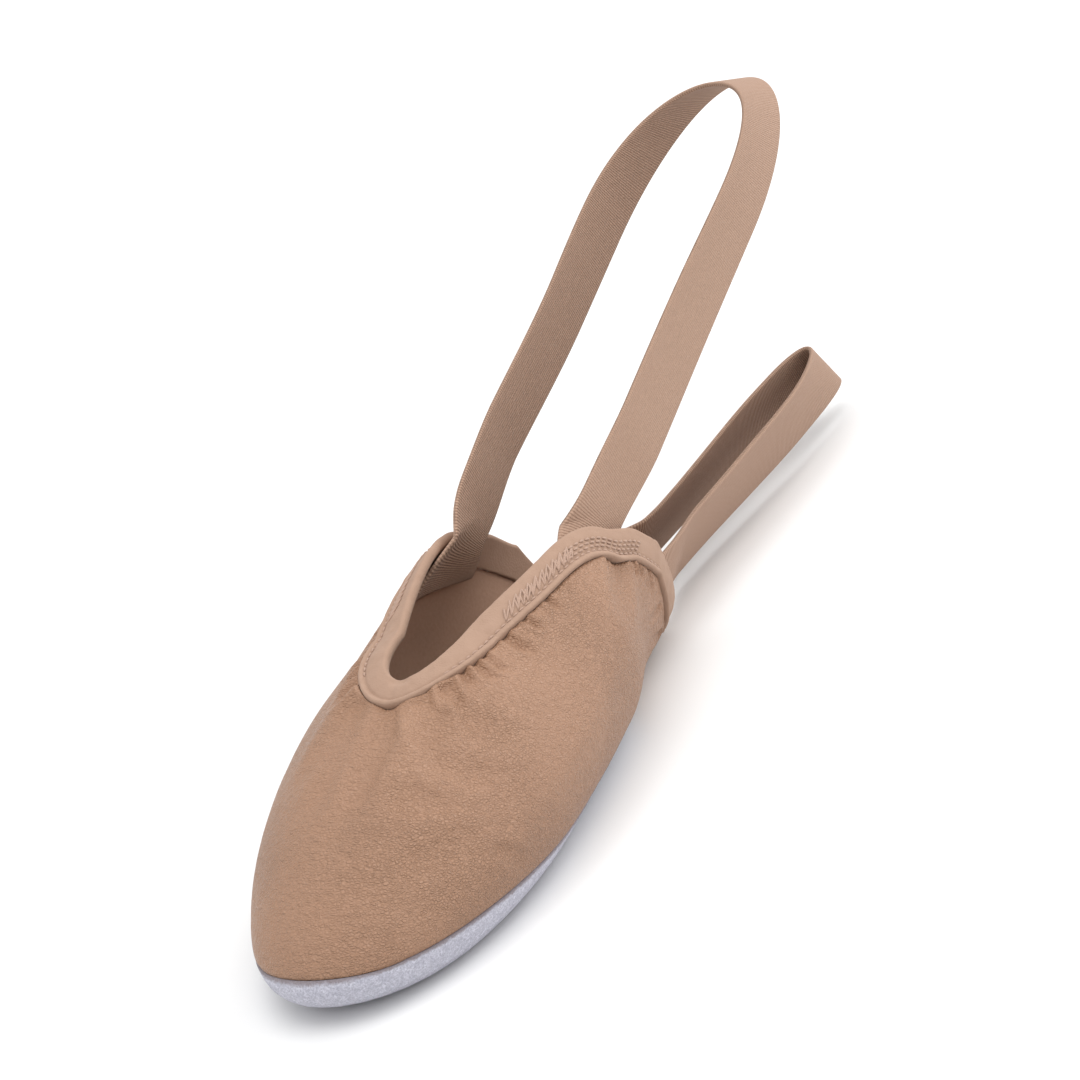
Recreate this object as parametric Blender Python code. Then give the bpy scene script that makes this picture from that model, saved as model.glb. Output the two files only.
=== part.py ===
"""Half-sole dance shoe for the front of the foot, standing empty on its sole.

Frame: metres, +Z up, toe toward -Y, origin on the floor under the ball of the foot.

The whole shoe is worked out from one last. Its plan is a superellipse from the toe to the ball and a
smooth curve from there to the rear edge. A section of the last is a half rib: a flat bottom, a round
corner up to the widest height, and a superellipse from there to the ridge of the instep. In front of
the instep the ribs stand round it like a fan, and behind it they lie across the shoe.

Every piece is a layer of that last between two depths under its skin, and the pieces share their
borders: the rim of the opening, the lower line of the binding and the seam of the sole.
"""
import math

import bmesh
import bpy
import numpy as np

for leftover in list(bpy.data.objects):
    bpy.data.objects.remove(leftover, do_unlink=True)

# Last
LAST_LENGTH = 0.141
BALL_WIDTH = 0.064
BALL_STATION = 0.059
INSTEP_STATION = 0.0775
INSTEP_HEIGHT = 0.0432
WING_RIDGE_HEIGHT = 0.0549
REAR_RIDGE_HEIGHT = 0.0640
TOE_SPRING = 0.0031
SPRING_LENGTH = 0.027
ARCH_RISE = 0.0010
REAR_FLAT_LENGTH = 0.0075

# Opening
THROAT_REACH = 0.0151
THROAT_HALF_WIDTH = 0.0078
MIDDLE_HALF_WIDTH = 0.0139
WING_HALF_WIDTH = 0.0168
WING_SETBACK = 0.0183
WING_STATION = LAST_LENGTH - WING_SETBACK

# Walls and clearances
UPPER_WALL = 0.0012
SOLE_WALL = 0.0017
BINDING_WALL = 0.0018
BINDING_WIDTH = 0.0075
BINDING_RISE = 0.00035
BEAD_RISE = 0.0005
INSOLE_WALL = 0.0008
SEAT_GAP = 0.0003

# Elastic
STRAP_WIDTH = 0.015
STRAP_WALL = 0.0010
STRAP_GAP = 0.0006
HEEL_STRAP_REACH = 0.1334
HEEL_STRAP_HALF_WIDTH = 0.0168
HEEL_STRAP_SETBACK = 0.0310
HEEL_STRAP_START = LAST_LENGTH - HEEL_STRAP_SETBACK
HEEL_STRAP_START_HEIGHT = 0.0353
HEEL_STRAP_SLOPE = math.radians(19.55)
HEEL_STRAP_LEAN = 0.0040
LOWER_STRAP_REACH = 0.101
LOWER_STRAP_HALF_WIDTH = 0.0056
LOWER_STRAP_SETBACK = 0.0125
LOWER_STRAP_START = LAST_LENGTH - LOWER_STRAP_SETBACK
LOWER_STRAP_START_HEIGHT = 0.0112
LOWER_STRAP_SLOPE = math.radians(0.8)
LOWER_STRAP_LEAN = 0.0070

# Rib powers: at the toe, at the side, at the wings, and of the height
TOE_POWER = 1.38
SIDE_POWER = 1.90
REAR_POWER = 2.20
HEIGHT_POWER = 1.57
PLAN_POWER = 1.93
RIM_POWER = 20.0

# Shares along a rib: end of the flat bottom, widest height, ridge
FLAT_END = 0.25
WIDEST = 0.5

# Columns: share of the way from the ball to the rear edge, share of the half ball width
PLAN_ROWS = [
    (0.000, 1.000),
    (0.484, 0.885),
    (0.742, 0.655),
    (1.000, 0.510),
]

# Columns: share of the last's length, widest height and corner radius as shares of the instep height
RIB_ROWS = [
    (0.00, 0.145, 0.190),
    (0.42, 0.425, 0.368),
    (1.00, 0.640, 0.335),
]

# Columns: share of the last's length, height of the sole's seam as a share along the rib
SEAM_ROWS = [
    (0.00, 0.545),
    (0.12, 0.480),
    (0.42, 0.380),
    (0.70, 0.350),
    (0.82, 0.290),
    (1.00, 0.200),
]
SOLE_END = 0.900
SOLE_ROUNDING_START = 0.60
SOLE_ROUNDING_POWER = 3.0

# Columns: share down the rear edge from the wing to the floor, share of the way from wing to rear end
REAR_EDGE_ROWS = [
    (0.00, 0.000),
    (0.14, 0.339),
    (0.28, 0.641),
    (0.51, 1.000),
    (1.00, 1.000),
]

# Columns: share across the binding from its rim, share of its rise, share of the bead's rise
BINDING_ROWS = [
    (0.000, 0.35, 0.0),
    (0.080, 1.00, 0.0),
    (0.450, 1.00, 0.0),
    (0.800, 0.75, 0.0),
    (0.860, 0.70, 0.9),
    (0.930, 0.70, 1.0),
    (1.000, 0.30, 0.2),
]
FLUSH_HEIGHT = 0.0020
PROUD_HEIGHT = 0.0080

# Columns: share of a strap's reach, half width in half widths, turn of the band in degrees, then how far
# its lower edge stands out on both sides, and to the right only, as shares of its width
HEEL_STRAP_ROWS = [
    (0.00, 0.86, -10.0, 0.14, 0.00),
    (0.12, 0.87, -10.0, 0.06, 0.00),
    (0.28, 0.97, -10.0, 0.08, 0.00),
    (0.50, 0.98, -4.0, 0.05, 0.00),
    (0.71, 1.00, 8.0, 0.00, 0.00),
    (0.88, 1.00, 27.0, 0.00, 0.00),
    (1.00, 1.00, 46.0, 0.00, 0.00),
]
LOWER_STRAP_ROWS = [
    (0.00, 2.20, 4.0, -0.45, 0.00),
    (0.18, 1.32, 5.0, -0.15, 0.66),
    (0.34, 1.05, 6.0, 0.00, 0.66),
    (0.60, 1.00, 10.0, 0.00, 0.50),
    (0.80, 1.00, 18.0, 0.00, 0.35),
    (1.00, 1.00, 30.0, 0.00, 0.00),
]
HEEL_BEND_START = 0.71
HEEL_BEND_POWER = 2.1
LOWER_BEND_START = 0.62
LOWER_BEND_POWER = 2.1
HEEL_LEAN_POWER = 2.0
LOWER_LEAN_POWER = 0.78
HEEL_ROOT_SHARE = 0.00
LOWER_ROOT_SHARE = 0.13
HEEL_BLEND_SHARE = 0.14
LOWER_BLEND_SHARE = 0.15
WALL_SLOPE_LIMIT = 4.0
INSOLE_SHARE = 0.92
INSOLE_ARC_SHARE = 0.97

COLUMNS = 44
UPPER_ROWS = 11
SOLE_ROWS = 7
INSOLE_ROWS = 4
STRAP_STEPS = 34
STRAP_ROWS = 4


def smooth_curve(rows, x, column=1, flat_start=False):
    """Read one column of a table as a smooth curve that never overshoots its rows."""
    knots = np.array([row[0] for row in rows], dtype=float)
    values = np.array([row[column] for row in rows], dtype=float)
    step = np.diff(knots)
    slope = np.diff(values) / step
    tangent = np.zeros(len(knots))
    same_way = slope[:-1] * slope[1:] > 0.0
    mean = 2.0 * slope[:-1] * slope[1:] / np.where(same_way, slope[:-1] + slope[1:], 1.0)
    tangent[1:-1] = np.where(same_way, mean, 0.0)
    tangent[0] = 0.0 if flat_start else slope[0]
    tangent[-1] = slope[-1]
    x = np.clip(x, knots[0], knots[-1])
    i = np.clip(np.searchsorted(knots, x, side="right") - 1, 0, len(step) - 1)
    u = (x - knots[i]) / step[i]
    start = values[i] * (2.0 * u**3 - 3.0 * u**2 + 1.0) + tangent[i] * step[i] * (u**3 - 2.0 * u**2 + u)
    end = values[i + 1] * (3.0 * u**2 - 2.0 * u**3) + tangent[i + 1] * step[i] * (u**3 - u**2)
    return start + end


def ease(x, start, end):
    """Rise smoothly from 0 at start to 1 at end."""
    u = np.clip((x - start) / (end - start), 0.0, 1.0)
    return u * u * (3.0 - 2.0 * u)


def half_width(station):
    """Half width of the last's plan at a distance behind the toe tip."""
    front = np.clip(1.0 - station / BALL_STATION, 0.0, 1.0)
    toe = (1.0 - front**PLAN_POWER) ** (1.0 / PLAN_POWER)
    rear = smooth_curve(PLAN_ROWS, (station - BALL_STATION) / (LAST_LENGTH - BALL_STATION), flat_start=True)
    return 0.5 * BALL_WIDTH * np.where(station < BALL_STATION, toe, rear)


def outline_table():
    """Stations along half of the plan outline, from the toe tip to the rear, and their arc shares."""
    turn = np.linspace(0.0, 0.5 * math.pi, 400)
    toe = BALL_STATION * (1.0 - np.cos(turn) ** (2.0 / PLAN_POWER))
    rear = np.linspace(BALL_STATION, LAST_LENGTH, 400)[1:]
    station = np.concatenate([toe, rear])
    width = half_width(station)
    length = np.concatenate([[0.0], np.cumsum(np.hypot(np.diff(station), np.diff(width)))])
    return length / length[-1], station


ARC_SHARE, ARC_STATION = outline_table()


def station_at(arc):
    return np.interp(arc, ARC_SHARE, ARC_STATION)


def arc_at(station):
    return np.interp(station, ARC_STATION, ARC_SHARE)


def rib(arc):
    """Sizes of the rib that starts at an arc share of the outline."""
    station = station_at(arc)
    width = half_width(station)
    foot = np.maximum(station, INSTEP_STATION)
    reach = np.hypot(width, station - foot)
    turn = np.arctan2(width, np.maximum(INSTEP_STATION - station, 0.0))
    power = TOE_POWER + (SIDE_POWER - TOE_POWER) * np.sin(turn)
    power = power + (REAR_POWER - SIDE_POWER) * ease(station, INSTEP_STATION, WING_STATION)
    widest = INSTEP_HEIGHT * smooth_curve(RIB_ROWS, station / LAST_LENGTH, 1)
    corner = INSTEP_HEIGHT * smooth_curve(RIB_ROWS, station / LAST_LENGTH, 2)
    ridge_rows = [
        (INSTEP_STATION, INSTEP_HEIGHT),
        (WING_STATION, WING_RIDGE_HEIGHT),
        (LAST_LENGTH, REAR_RIDGE_HEIGHT),
    ]
    ridge = smooth_curve(ridge_rows, foot)
    return station, width, foot, reach, turn, power, widest, corner, ridge


def floor_lift(y_from_toe):
    """Lift of the bottom off the floor: the toe's spring, and the low arch between ball and rear edge."""
    front = np.clip((SPRING_LENGTH - y_from_toe) / SPRING_LENGTH, 0.0, 1.0)
    arch_length = LAST_LENGTH - REAR_FLAT_LENGTH - INSTEP_STATION
    over_arch = np.clip((y_from_toe - INSTEP_STATION) / arch_length, 0.0, 1.0)
    return TOE_SPRING * front**2 + ARCH_RISE * np.sin(math.pi * over_arch) ** 2


def spring(y_from_toe, height):
    """The same lift at a height, fading up the shoe."""
    return floor_lift(y_from_toe) * np.clip(1.0 - height / INSTEP_HEIGHT, 0.0, 1.0)


def skin(arc, share):
    """Point of the last's skin: an arc share along the outline and a share up the rib."""
    side = np.where(arc < 0.0, -1.0, 1.0)
    station, width, foot, reach, turn, power, widest, corner, ridge = rib(np.abs(arc))
    bend = np.clip((share - FLAT_END) / (WIDEST - FLAT_END), 0.0, 1.0) * 0.5 * math.pi
    climb = np.clip((share - WIDEST) / (1.0 - WIDEST), 0.0, 1.0) * 0.5 * math.pi
    on_flat = (share / FLAT_END) * (reach - corner)
    on_corner = reach - corner + corner * np.sin(bend)
    on_top = reach * np.cos(climb) ** (2.0 / power)
    out = np.where(share < FLAT_END, on_flat, np.where(share < WIDEST, on_corner, on_top))
    low = widest * (1.0 - np.cos(bend))
    high = widest + (ridge - widest) * np.sin(climb) ** (2.0 / HEIGHT_POWER)
    height = np.where(share < WIDEST, low, high)
    across = side * out * width / np.maximum(reach, 1e-9)
    along = foot + out * (station - foot) / np.maximum(reach, 1e-9)
    height = height + spring(along, height)
    return np.stack([across, along - BALL_STATION, height], axis=-1)


def skin_normal(arc, share):
    """Outward normal of the skin, worked out from small steps along both directions."""
    step = 0.002
    along = skin(arc + step, share) - skin(arc - step, share)
    up = skin(arc, np.minimum(share + step, 1.0)) - skin(arc, np.maximum(share - step, FLAT_END))
    normal = np.cross(along, up)
    length = np.linalg.norm(normal, axis=-1, keepdims=True)
    normal = normal / np.maximum(length, 1e-15)
    station = skin(arc, share)[..., 1] + BALL_STATION
    reach = step * LAST_LENGTH
    slope = (floor_lift(station + reach) - floor_lift(station - reach)) / (2.0 * reach)
    flat = np.stack([0.0 * slope, slope, -np.ones_like(slope)], axis=-1)
    flat = flat / np.linalg.norm(flat, axis=-1, keepdims=True)
    return np.where((share <= FLAT_END + step)[..., None], flat, normal)


def layer(arc, share, depth):
    """Point at a depth under the skin; a negative depth stands proud of it."""
    return skin(arc, share) - skin_normal(arc, share) * np.asarray(depth)[..., None]


def collar_share(arc):
    """Share up the rib at which the opening's edge crosses it."""
    station, width, foot, reach, turn, power, widest, corner, ridge = rib(arc)
    throat = 1.0 / np.sqrt((np.cos(turn) / THROAT_REACH) ** 2 + (np.sin(turn) / THROAT_HALF_WIDTH) ** 2)
    middle = 0.5 * (INSTEP_STATION + WING_STATION)
    side_rows = [
        (INSTEP_STATION, THROAT_HALF_WIDTH),
        (middle, MIDDLE_HALF_WIDTH),
        (WING_STATION, WING_HALF_WIDTH),
    ]
    side = smooth_curve(side_rows, station)
    out = np.where(station < INSTEP_STATION, throat, side)
    climb = np.arccos(np.clip(out / reach, 0.0, 1.0) ** (0.5 * power))
    return WIDEST + (1.0 - WIDEST) * climb / (0.5 * math.pi)


WING_ARC = arc_at(WING_STATION)
WING_SHARE = float(collar_share(WING_ARC))
SOLE_ARC = arc_at(SOLE_END * LAST_LENGTH)


def rim_curve(turn):
    """Half of the opening's rim: from the throat's front, round the wing, to the rear bottom."""
    size = (np.sin(turn) ** RIM_POWER + np.cos(turn) ** RIM_POWER) ** (1.0 / RIM_POWER)
    along = np.sin(turn) / size
    up = np.cos(turn) / size
    share = up * collar_share(along * WING_ARC)
    to_rear = smooth_curve(REAR_EDGE_ROWS, 1.0 - share / WING_SHARE, flat_start=True)
    end = arc_at(WING_STATION + (LAST_LENGTH - WING_STATION) * to_rear)
    progress = 0.5 * (along + 1.0 - up)
    return along * end, share, progress


def seam_curve(progress):
    """Half of the sole's seam, matched to the rim: from the toe to the rear end of the sole."""
    arc = SOLE_ARC * (1.0 - (1.0 - progress) ** 1.9)
    share_of_length = station_at(arc) / LAST_LENGTH
    height = smooth_curve(SEAM_ROWS, share_of_length)
    run = (share_of_length - SOLE_ROUNDING_START) / (SOLE_END - SOLE_ROUNDING_START)
    run = np.clip(run, 0.0, 1.0)
    rounding = (1.0 - run**SOLE_ROUNDING_POWER) ** (1.0 / SOLE_ROUNDING_POWER)
    _, _, _, reach, _, _, _, corner, _ = rib(arc)
    bend = np.clip((height - FLAT_END) / (WIDEST - FLAT_END), 0.0, 1.0) * 0.5 * math.pi
    out = (reach - corner + corner * np.sin(bend)) * rounding
    on_flat = FLAT_END * out / (reach - corner)
    bend = np.arcsin(np.clip((out - reach + corner) / corner, 0.0, 1.0))
    on_corner = FLAT_END + (WIDEST - FLAT_END) * bend / (0.5 * math.pi)
    closing = np.where(out < reach - corner, on_flat, on_corner)
    return arc, np.where(run > 0.0, closing, height)


def matched_turns():
    """Turns of the rim that space the columns evenly along rim and seam together."""
    turn = 0.5 * math.pi * (1.0 - np.cos(np.linspace(0.0, math.pi, 1200))) * 0.5
    rim_arc, rim_share, progress = rim_curve(turn)
    seam_arc, seam_share = seam_curve(progress)
    total = np.zeros(len(turn))
    for points in (skin(rim_arc, rim_share), skin(seam_arc, seam_share)):
        run = np.concatenate([[0.0], np.cumsum(np.linalg.norm(np.diff(points, axis=0), axis=1))])
        total = total + run / run[-1]
    return np.interp(np.linspace(0.0, total[-1], COLUMNS + 1), total, turn)


TURNS = matched_turns()


def matched_lines():
    """Lines across the skin from rim to seam, one a column, and the distance run along each."""
    rim_arc, rim_share, progress = rim_curve(TURNS)
    seam_arc, seam_share = seam_curve(progress)
    fine = np.linspace(0.0, 1.0, 160)
    arc = rim_arc[:, None] + (seam_arc - rim_arc)[:, None] * fine
    share = rim_share[:, None] + (seam_share - rim_share)[:, None] * fine
    steps = np.linalg.norm(np.diff(skin(arc, share), axis=1), axis=2)
    run = np.concatenate([np.zeros((len(TURNS), 1)), np.cumsum(steps, axis=1)], axis=1)
    return arc, share, run


LINE_ARC, LINE_SHARE, LINE_RUN = matched_lines()


def down_the_lines(distance):
    """Arc and share at distances in from the rim, an array of shape (columns, rows)."""
    arc = np.array([np.interp(d, r, a) for d, r, a in zip(distance, LINE_RUN, LINE_ARC)])
    share = np.array([np.interp(d, r, v) for d, r, v in zip(distance, LINE_RUN, LINE_SHARE)])
    return arc, share


def both_sides(points):
    """Half columns from toe to rear, joined with their mirror image into one ring of columns."""
    mirrored = points[-2:0:-1] * np.array([-1.0, 1.0, 1.0])
    ring = np.concatenate([points, mirrored])
    ring[0, :, 0] = 0.0
    ring[len(points) - 1, :, 0] = 0.0
    return ring


def grid_faces(columns, rows, wrap, offset, flip):
    """Quads of a grid of vertices."""
    faces = []
    for i in range(columns if wrap else columns - 1):
        n = (i + 1) % columns
        for j in range(rows - 1):
            quad = [i * rows + j, n * rows + j, n * rows + j + 1, i * rows + j + 1]
            faces.append([offset + q for q in (quad[::-1] if flip else quad)])
    return faces


def slab(name, outer, inner, wrap, open_last_row, colour, roughness):
    """Closed solid between two matching grids, with walls along the borders that stay open."""
    columns, rows = outer.shape[:2]
    vertices = np.concatenate([outer.reshape(-1, 3), inner.reshape(-1, 3)])
    size = columns * rows
    faces = grid_faces(columns, rows, wrap, 0, False) + grid_faces(columns, rows, wrap, size, True)
    for i in range(columns if wrap else columns - 1):
        n = (i + 1) % columns
        faces.append([n * rows, i * rows, size + i * rows, size + n * rows])
        if open_last_row:
            a = i * rows + rows - 1
            b = n * rows + rows - 1
            faces.append([a, b, size + b, size + a])
    if not wrap:
        last = (columns - 1) * rows
        for j in range(rows - 1):
            faces.append([j, j + 1, size + j + 1, size + j])
            faces.append([last + j + 1, last + j, size + last + j, size + last + j + 1])
    return make_object(name, vertices, faces, colour, roughness)


def make_object(name, vertices, faces, colour, roughness):
    """Mesh object with coincident vertices welded, faces outward, and its own material."""
    mesh = bpy.data.meshes.new(name)
    mesh.from_pydata([tuple(v) for v in vertices], [], faces)
    build = bmesh.new()
    build.from_mesh(mesh)
    bmesh.ops.remove_doubles(build, verts=build.verts, dist=0.00002)
    bmesh.ops.triangulate(build, faces=build.faces, quad_method="SHORT_EDGE")
    bmesh.ops.recalc_face_normals(build, faces=build.faces)
    build.to_mesh(mesh)
    build.free()
    mesh.shade_smooth()
    mesh.set_sharp_from_angle(angle=math.radians(40.0))
    material = bpy.data.materials.new(name + "_finish")
    material.use_nodes = True
    shader = material.node_tree.nodes["Principled BSDF"]
    shader.inputs["Base Color"].default_value = colour
    shader.inputs["Roughness"].default_value = roughness
    shader.inputs["Metallic"].default_value = 0.0
    mesh.materials.append(material)
    piece = bpy.data.objects.new(name, mesh)
    bpy.context.collection.objects.link(piece)
    piece.parent = shoe
    return piece


def wall_outside(station, height):
    """Distance from the centre plane to the skin of the side wall behind the instep."""
    _, _, _, reach, _, power, widest, corner, ridge = rib(arc_at(station))
    above = np.clip((height - widest) / (ridge - widest), 0.0, 1.0)
    climb = np.arcsin(above ** (0.5 * HEIGHT_POWER))
    bend = np.arccos(np.clip(1.0 - height / widest, -1.0, 1.0))
    high = reach * np.cos(climb) ** (2.0 / power)
    low = reach - corner + corner * np.sin(bend)
    return np.where(height > widest, high, low)


def collar_height(station):
    """Height of the opening's edge behind the instep."""
    arc = arc_at(station)
    return skin(arc, collar_share(arc))[..., 2]


def wall_inside(station, height, depth):
    """The same wall at a depth under its skin, measured square to the wall."""
    step = 0.0004
    across = wall_outside(station, height)
    up = (wall_outside(station, height + step) - wall_outside(station, height - step)) / (2.0 * step)
    back = (wall_outside(station + step, height) - wall_outside(station - step, height)) / (2.0 * step)
    return across - depth * np.sqrt(1.0 + np.minimum(up**2 + back**2, WALL_SLOPE_LIMIT))


def strap(
    name,
    rows,
    wall_end,
    root_share,
    blend_share,
    bend_start,
    bend_power,
    start,
    start_height,
    slope,
    reach,
    half,
    lean,
    lean_power,
    colour,
):
    """Elastic loop: both ends lie on the inside of the wings and run into a free round bend."""
    swing = np.linspace(0.0, 0.5 * math.pi, STRAP_STEPS + 1)
    share = np.sin(swing)
    turn = np.radians(smooth_curve(rows, share, 2))
    into_bend = np.clip((share - bend_start) / (1.0 - bend_start), 0.0, 1.0)
    profile = smooth_curve(rows, share, 1) * (1.0 - into_bend**bend_power) ** (1.0 / bend_power)
    across_line = np.linspace(-0.5, 0.5, STRAP_ROWS + 1)
    angle = (slope - 0.5 * math.pi + turn)[:, None]
    station = start + reach * share[:, None] * math.cos(slope) + STRAP_WIDTH * across_line * np.cos(angle)
    rise = reach * share[:, None] * math.sin(slope)
    height = start_height + rise + STRAP_WIDTH * across_line * np.sin(angle)
    depth = BINDING_WALL + STRAP_GAP + 0.5 * STRAP_WALL
    edge = collar_height(np.minimum(station, WING_STATION))
    wall = wall_inside(np.minimum(station, wall_end), np.minimum(height, edge), depth)
    free = ease(share, root_share, root_share + blend_share)[:, None]
    stand_out = STRAP_WIDTH * smooth_curve(rows, share, 3)[:, None] * across_line
    across = wall + (half * profile[:, None] + stand_out * (1.0 - share[:, None] ** 4) - wall) * free
    right = np.stack([across, station - BALL_STATION, height], axis=-1)
    left = right[-2::-1] * np.array([-1.0, 1.0, 1.0])
    middle = np.concatenate([right, left])
    both = np.concatenate([share, share[-2::-1]])
    roll = smooth_curve(rows, both, 4)[:, None] * STRAP_WIDTH * across_line
    freedom = ease(both, root_share, root_share + blend_share)[:, None]
    middle[..., 0] += freedom * (both**lean_power * lean)[:, None] - freedom * roll
    along = np.gradient(middle, axis=0)
    up = np.gradient(middle, axis=1)
    normal = np.cross(along, up)
    normal = normal / np.linalg.norm(normal, axis=-1, keepdims=True)
    outer = middle + 0.5 * STRAP_WALL * normal
    inner = middle - 0.5 * STRAP_WALL * normal
    return slab(name, outer, inner, False, True, colour, 0.85)


shoe = bpy.data.objects.new("shoe", None)
bpy.context.collection.objects.link(shoe)

# Upper: one hollow wall from the binding's lower line down to the seam of the sole
rows = np.linspace(0.0, 1.0, UPPER_ROWS + 1)
upper_top = BINDING_WIDTH + SEAT_GAP
upper_bottom = LINE_RUN[:, -1:] - SEAT_GAP
arc, share = down_the_lines(upper_top + (upper_bottom - upper_top) * rows)
outer = both_sides(layer(arc, share, 0.0 * arc))
inner = both_sides(layer(arc, share, 0.0 * arc + UPPER_WALL))
slab("upper", outer, inner, True, True, (0.46, 0.29, 0.20, 1.0), 0.6)

# Binding: a folded strip round the whole opening, proud of the upper, with a bead along its lower line
cross = np.array([row[0] for row in BINDING_ROWS])
rise = np.array([row[1] for row in BINDING_ROWS]) * BINDING_RISE
rise = rise + np.array([row[2] for row in BINDING_ROWS]) * BEAD_RISE
arc, share = down_the_lines(np.repeat(BINDING_WIDTH * cross[None, :], len(TURNS), axis=0))
proud = ease(skin(arc, share)[..., 2], FLUSH_HEIGHT, PROUD_HEIGHT)
outer = both_sides(layer(arc, share, -rise * proud))
inner = both_sides(layer(arc, share, 0.0 * arc + BINDING_WALL))
slab("collar_binding", outer, inner, True, True, (0.55, 0.36, 0.26, 1.0), 0.7)

# Outsole: thin sole whose edge is turned up to the seam round the toe and the ball
seam_arc, seam_share = seam_curve(rim_curve(TURNS)[2])
rows = np.linspace(1.0, 0.0, SOLE_ROWS + 1)
arc = np.repeat(seam_arc[:, None], len(rows), axis=1)
share = seam_share[:, None] * rows
outer = both_sides(layer(arc, share, 0.0 * arc))
inner = both_sides(layer(arc, share, 0.0 * arc + SOLE_WALL))
slab("outsole", outer, inner, True, False, (0.60, 0.60, 0.74, 1.0), 0.95)

# Insole: thin sock on the outsole, kept clear of the walls
rows = np.linspace(1.0, 0.0, INSOLE_ROWS + 1)
arc = np.repeat(INSOLE_ARC_SHARE * seam_arc[:, None], len(rows), axis=1)
edge = np.minimum(seam_share, FLAT_END) * INSOLE_SHARE
share = edge[:, None] * rows
under = SOLE_WALL + SEAT_GAP
outer = both_sides(layer(arc, share, 0.0 * arc + under))
inner = both_sides(layer(arc, share, 0.0 * arc + under + INSOLE_WALL))
slab("insole", outer, inner, True, False, (0.12, 0.07, 0.05, 1.0), 0.9)

# Straps: two loops of ribbed elastic, their ends against the inside of the wings
elastic_colour = (0.50, 0.33, 0.25, 1.0)
strap(
    "heel_strap",
    HEEL_STRAP_ROWS,
    WING_STATION,
    HEEL_ROOT_SHARE,
    HEEL_BLEND_SHARE,
    HEEL_BEND_START,
    HEEL_BEND_POWER,
    HEEL_STRAP_START,
    HEEL_STRAP_START_HEIGHT,
    HEEL_STRAP_SLOPE,
    HEEL_STRAP_REACH,
    HEEL_STRAP_HALF_WIDTH,
    HEEL_STRAP_LEAN,
    HEEL_LEAN_POWER,
    elastic_colour,
)
strap(
    "lower_strap",
    LOWER_STRAP_ROWS,
    LAST_LENGTH,
    LOWER_ROOT_SHARE,
    LOWER_BLEND_SHARE,
    LOWER_BEND_START,
    LOWER_BEND_POWER,
    LOWER_STRAP_START,
    LOWER_STRAP_START_HEIGHT,
    LOWER_STRAP_SLOPE,
    LOWER_STRAP_REACH,
    LOWER_STRAP_HALF_WIDTH,
    LOWER_STRAP_LEAN,
    LOWER_LEAN_POWER,
    elastic_colour,
)
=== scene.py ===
"""A half-sole dance shoe for the front of the foot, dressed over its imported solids.

Frame: metres, +Z up, toe toward -Y, origin on the floor under the ball of the foot. Each section makes
or dresses a piece as the shoe is put together: upper, binding, its stitches, sole, insole, elastics.
"""
import math

import bmesh
import bpy
import numpy as np
from mathutils import Matrix, Vector


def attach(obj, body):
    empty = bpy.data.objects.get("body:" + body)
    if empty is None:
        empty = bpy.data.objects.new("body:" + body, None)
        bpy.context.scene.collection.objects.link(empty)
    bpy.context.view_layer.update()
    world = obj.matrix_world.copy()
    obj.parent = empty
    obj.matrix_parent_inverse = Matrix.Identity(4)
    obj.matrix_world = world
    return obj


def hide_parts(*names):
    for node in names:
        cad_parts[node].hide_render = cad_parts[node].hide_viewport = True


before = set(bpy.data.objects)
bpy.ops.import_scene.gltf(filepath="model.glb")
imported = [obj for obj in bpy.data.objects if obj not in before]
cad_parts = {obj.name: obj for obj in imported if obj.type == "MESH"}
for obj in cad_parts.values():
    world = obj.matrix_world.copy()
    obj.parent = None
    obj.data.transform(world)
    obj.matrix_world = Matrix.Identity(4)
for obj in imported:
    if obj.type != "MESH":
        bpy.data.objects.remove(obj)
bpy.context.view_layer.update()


# Leather upper
# One piece of soft, finely pebbled tan leather, lasted over the toes and the instep and gathered under
# the binding. It is cut out at the throat and at the rear, and its lower edge is sewn into the sole.
LAST_LENGTH = 0.141
BALL_WIDTH = 0.064
BALL_STATION = 0.059
INSTEP_STATION = 0.0775
INSTEP_HEIGHT = 0.0432
WING_RIDGE_HEIGHT = 0.0549
REAR_RIDGE_HEIGHT = 0.0640
TOE_SPRING = 0.0031
SPRING_LENGTH = 0.027
ARCH_RISE = 0.0010
REAR_FLAT_LENGTH = 0.0075
THROAT_REACH = 0.0151
THROAT_HALF_WIDTH = 0.0078
MIDDLE_HALF_WIDTH = 0.0139
WING_HALF_WIDTH = 0.0168
WING_STATION = 0.1227
TOE_POWER, SIDE_POWER, REAR_POWER = 1.38, 1.90, 2.20
HEIGHT_POWER, PLAN_POWER, RIM_POWER = 1.57, 1.93, 20.0
FLAT_END, WIDEST = 0.25, 0.5
UPPER_WALL = 0.0012
BINDING_WIDTH = 0.0075
SEAM_GAP = 0.0001
RING_HALF = 300
OUTLINE_STEPS, RIM_STEPS, LINE_STEPS = 400, 1600, 160

# Columns: share of the way from the ball to the rear edge, share of the half ball width
PLAN_ROWS = [(0.000, 1.000), (0.484, 0.885), (0.742, 0.655), (1.000, 0.510)]
# Columns: share of the length, widest height and corner radius as shares of the instep height
RIB_ROWS = [(0.00, 0.145, 0.190), (0.42, 0.425, 0.368), (1.00, 0.640, 0.335)]
# Columns: share of the length, height of the sole's seam as a share along the rib
SEAM_ROWS = [(0.00, 0.545), (0.12, 0.480), (0.42, 0.380), (0.70, 0.350), (0.82, 0.290), (1.00, 0.200)]
SOLE_END, SOLE_ROUNDING_START, SOLE_ROUNDING_POWER = 0.900, 0.60, 3.0
SEAM_SPACING_POWER = 1.9
# Columns: share down the rear edge from the wing to the floor, share of the way from wing to rear end
REAR_EDGE_ROWS = [(0.00, 0.000), (0.14, 0.339), (0.28, 0.641), (0.51, 1.000), (1.00, 1.000)]


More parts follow.
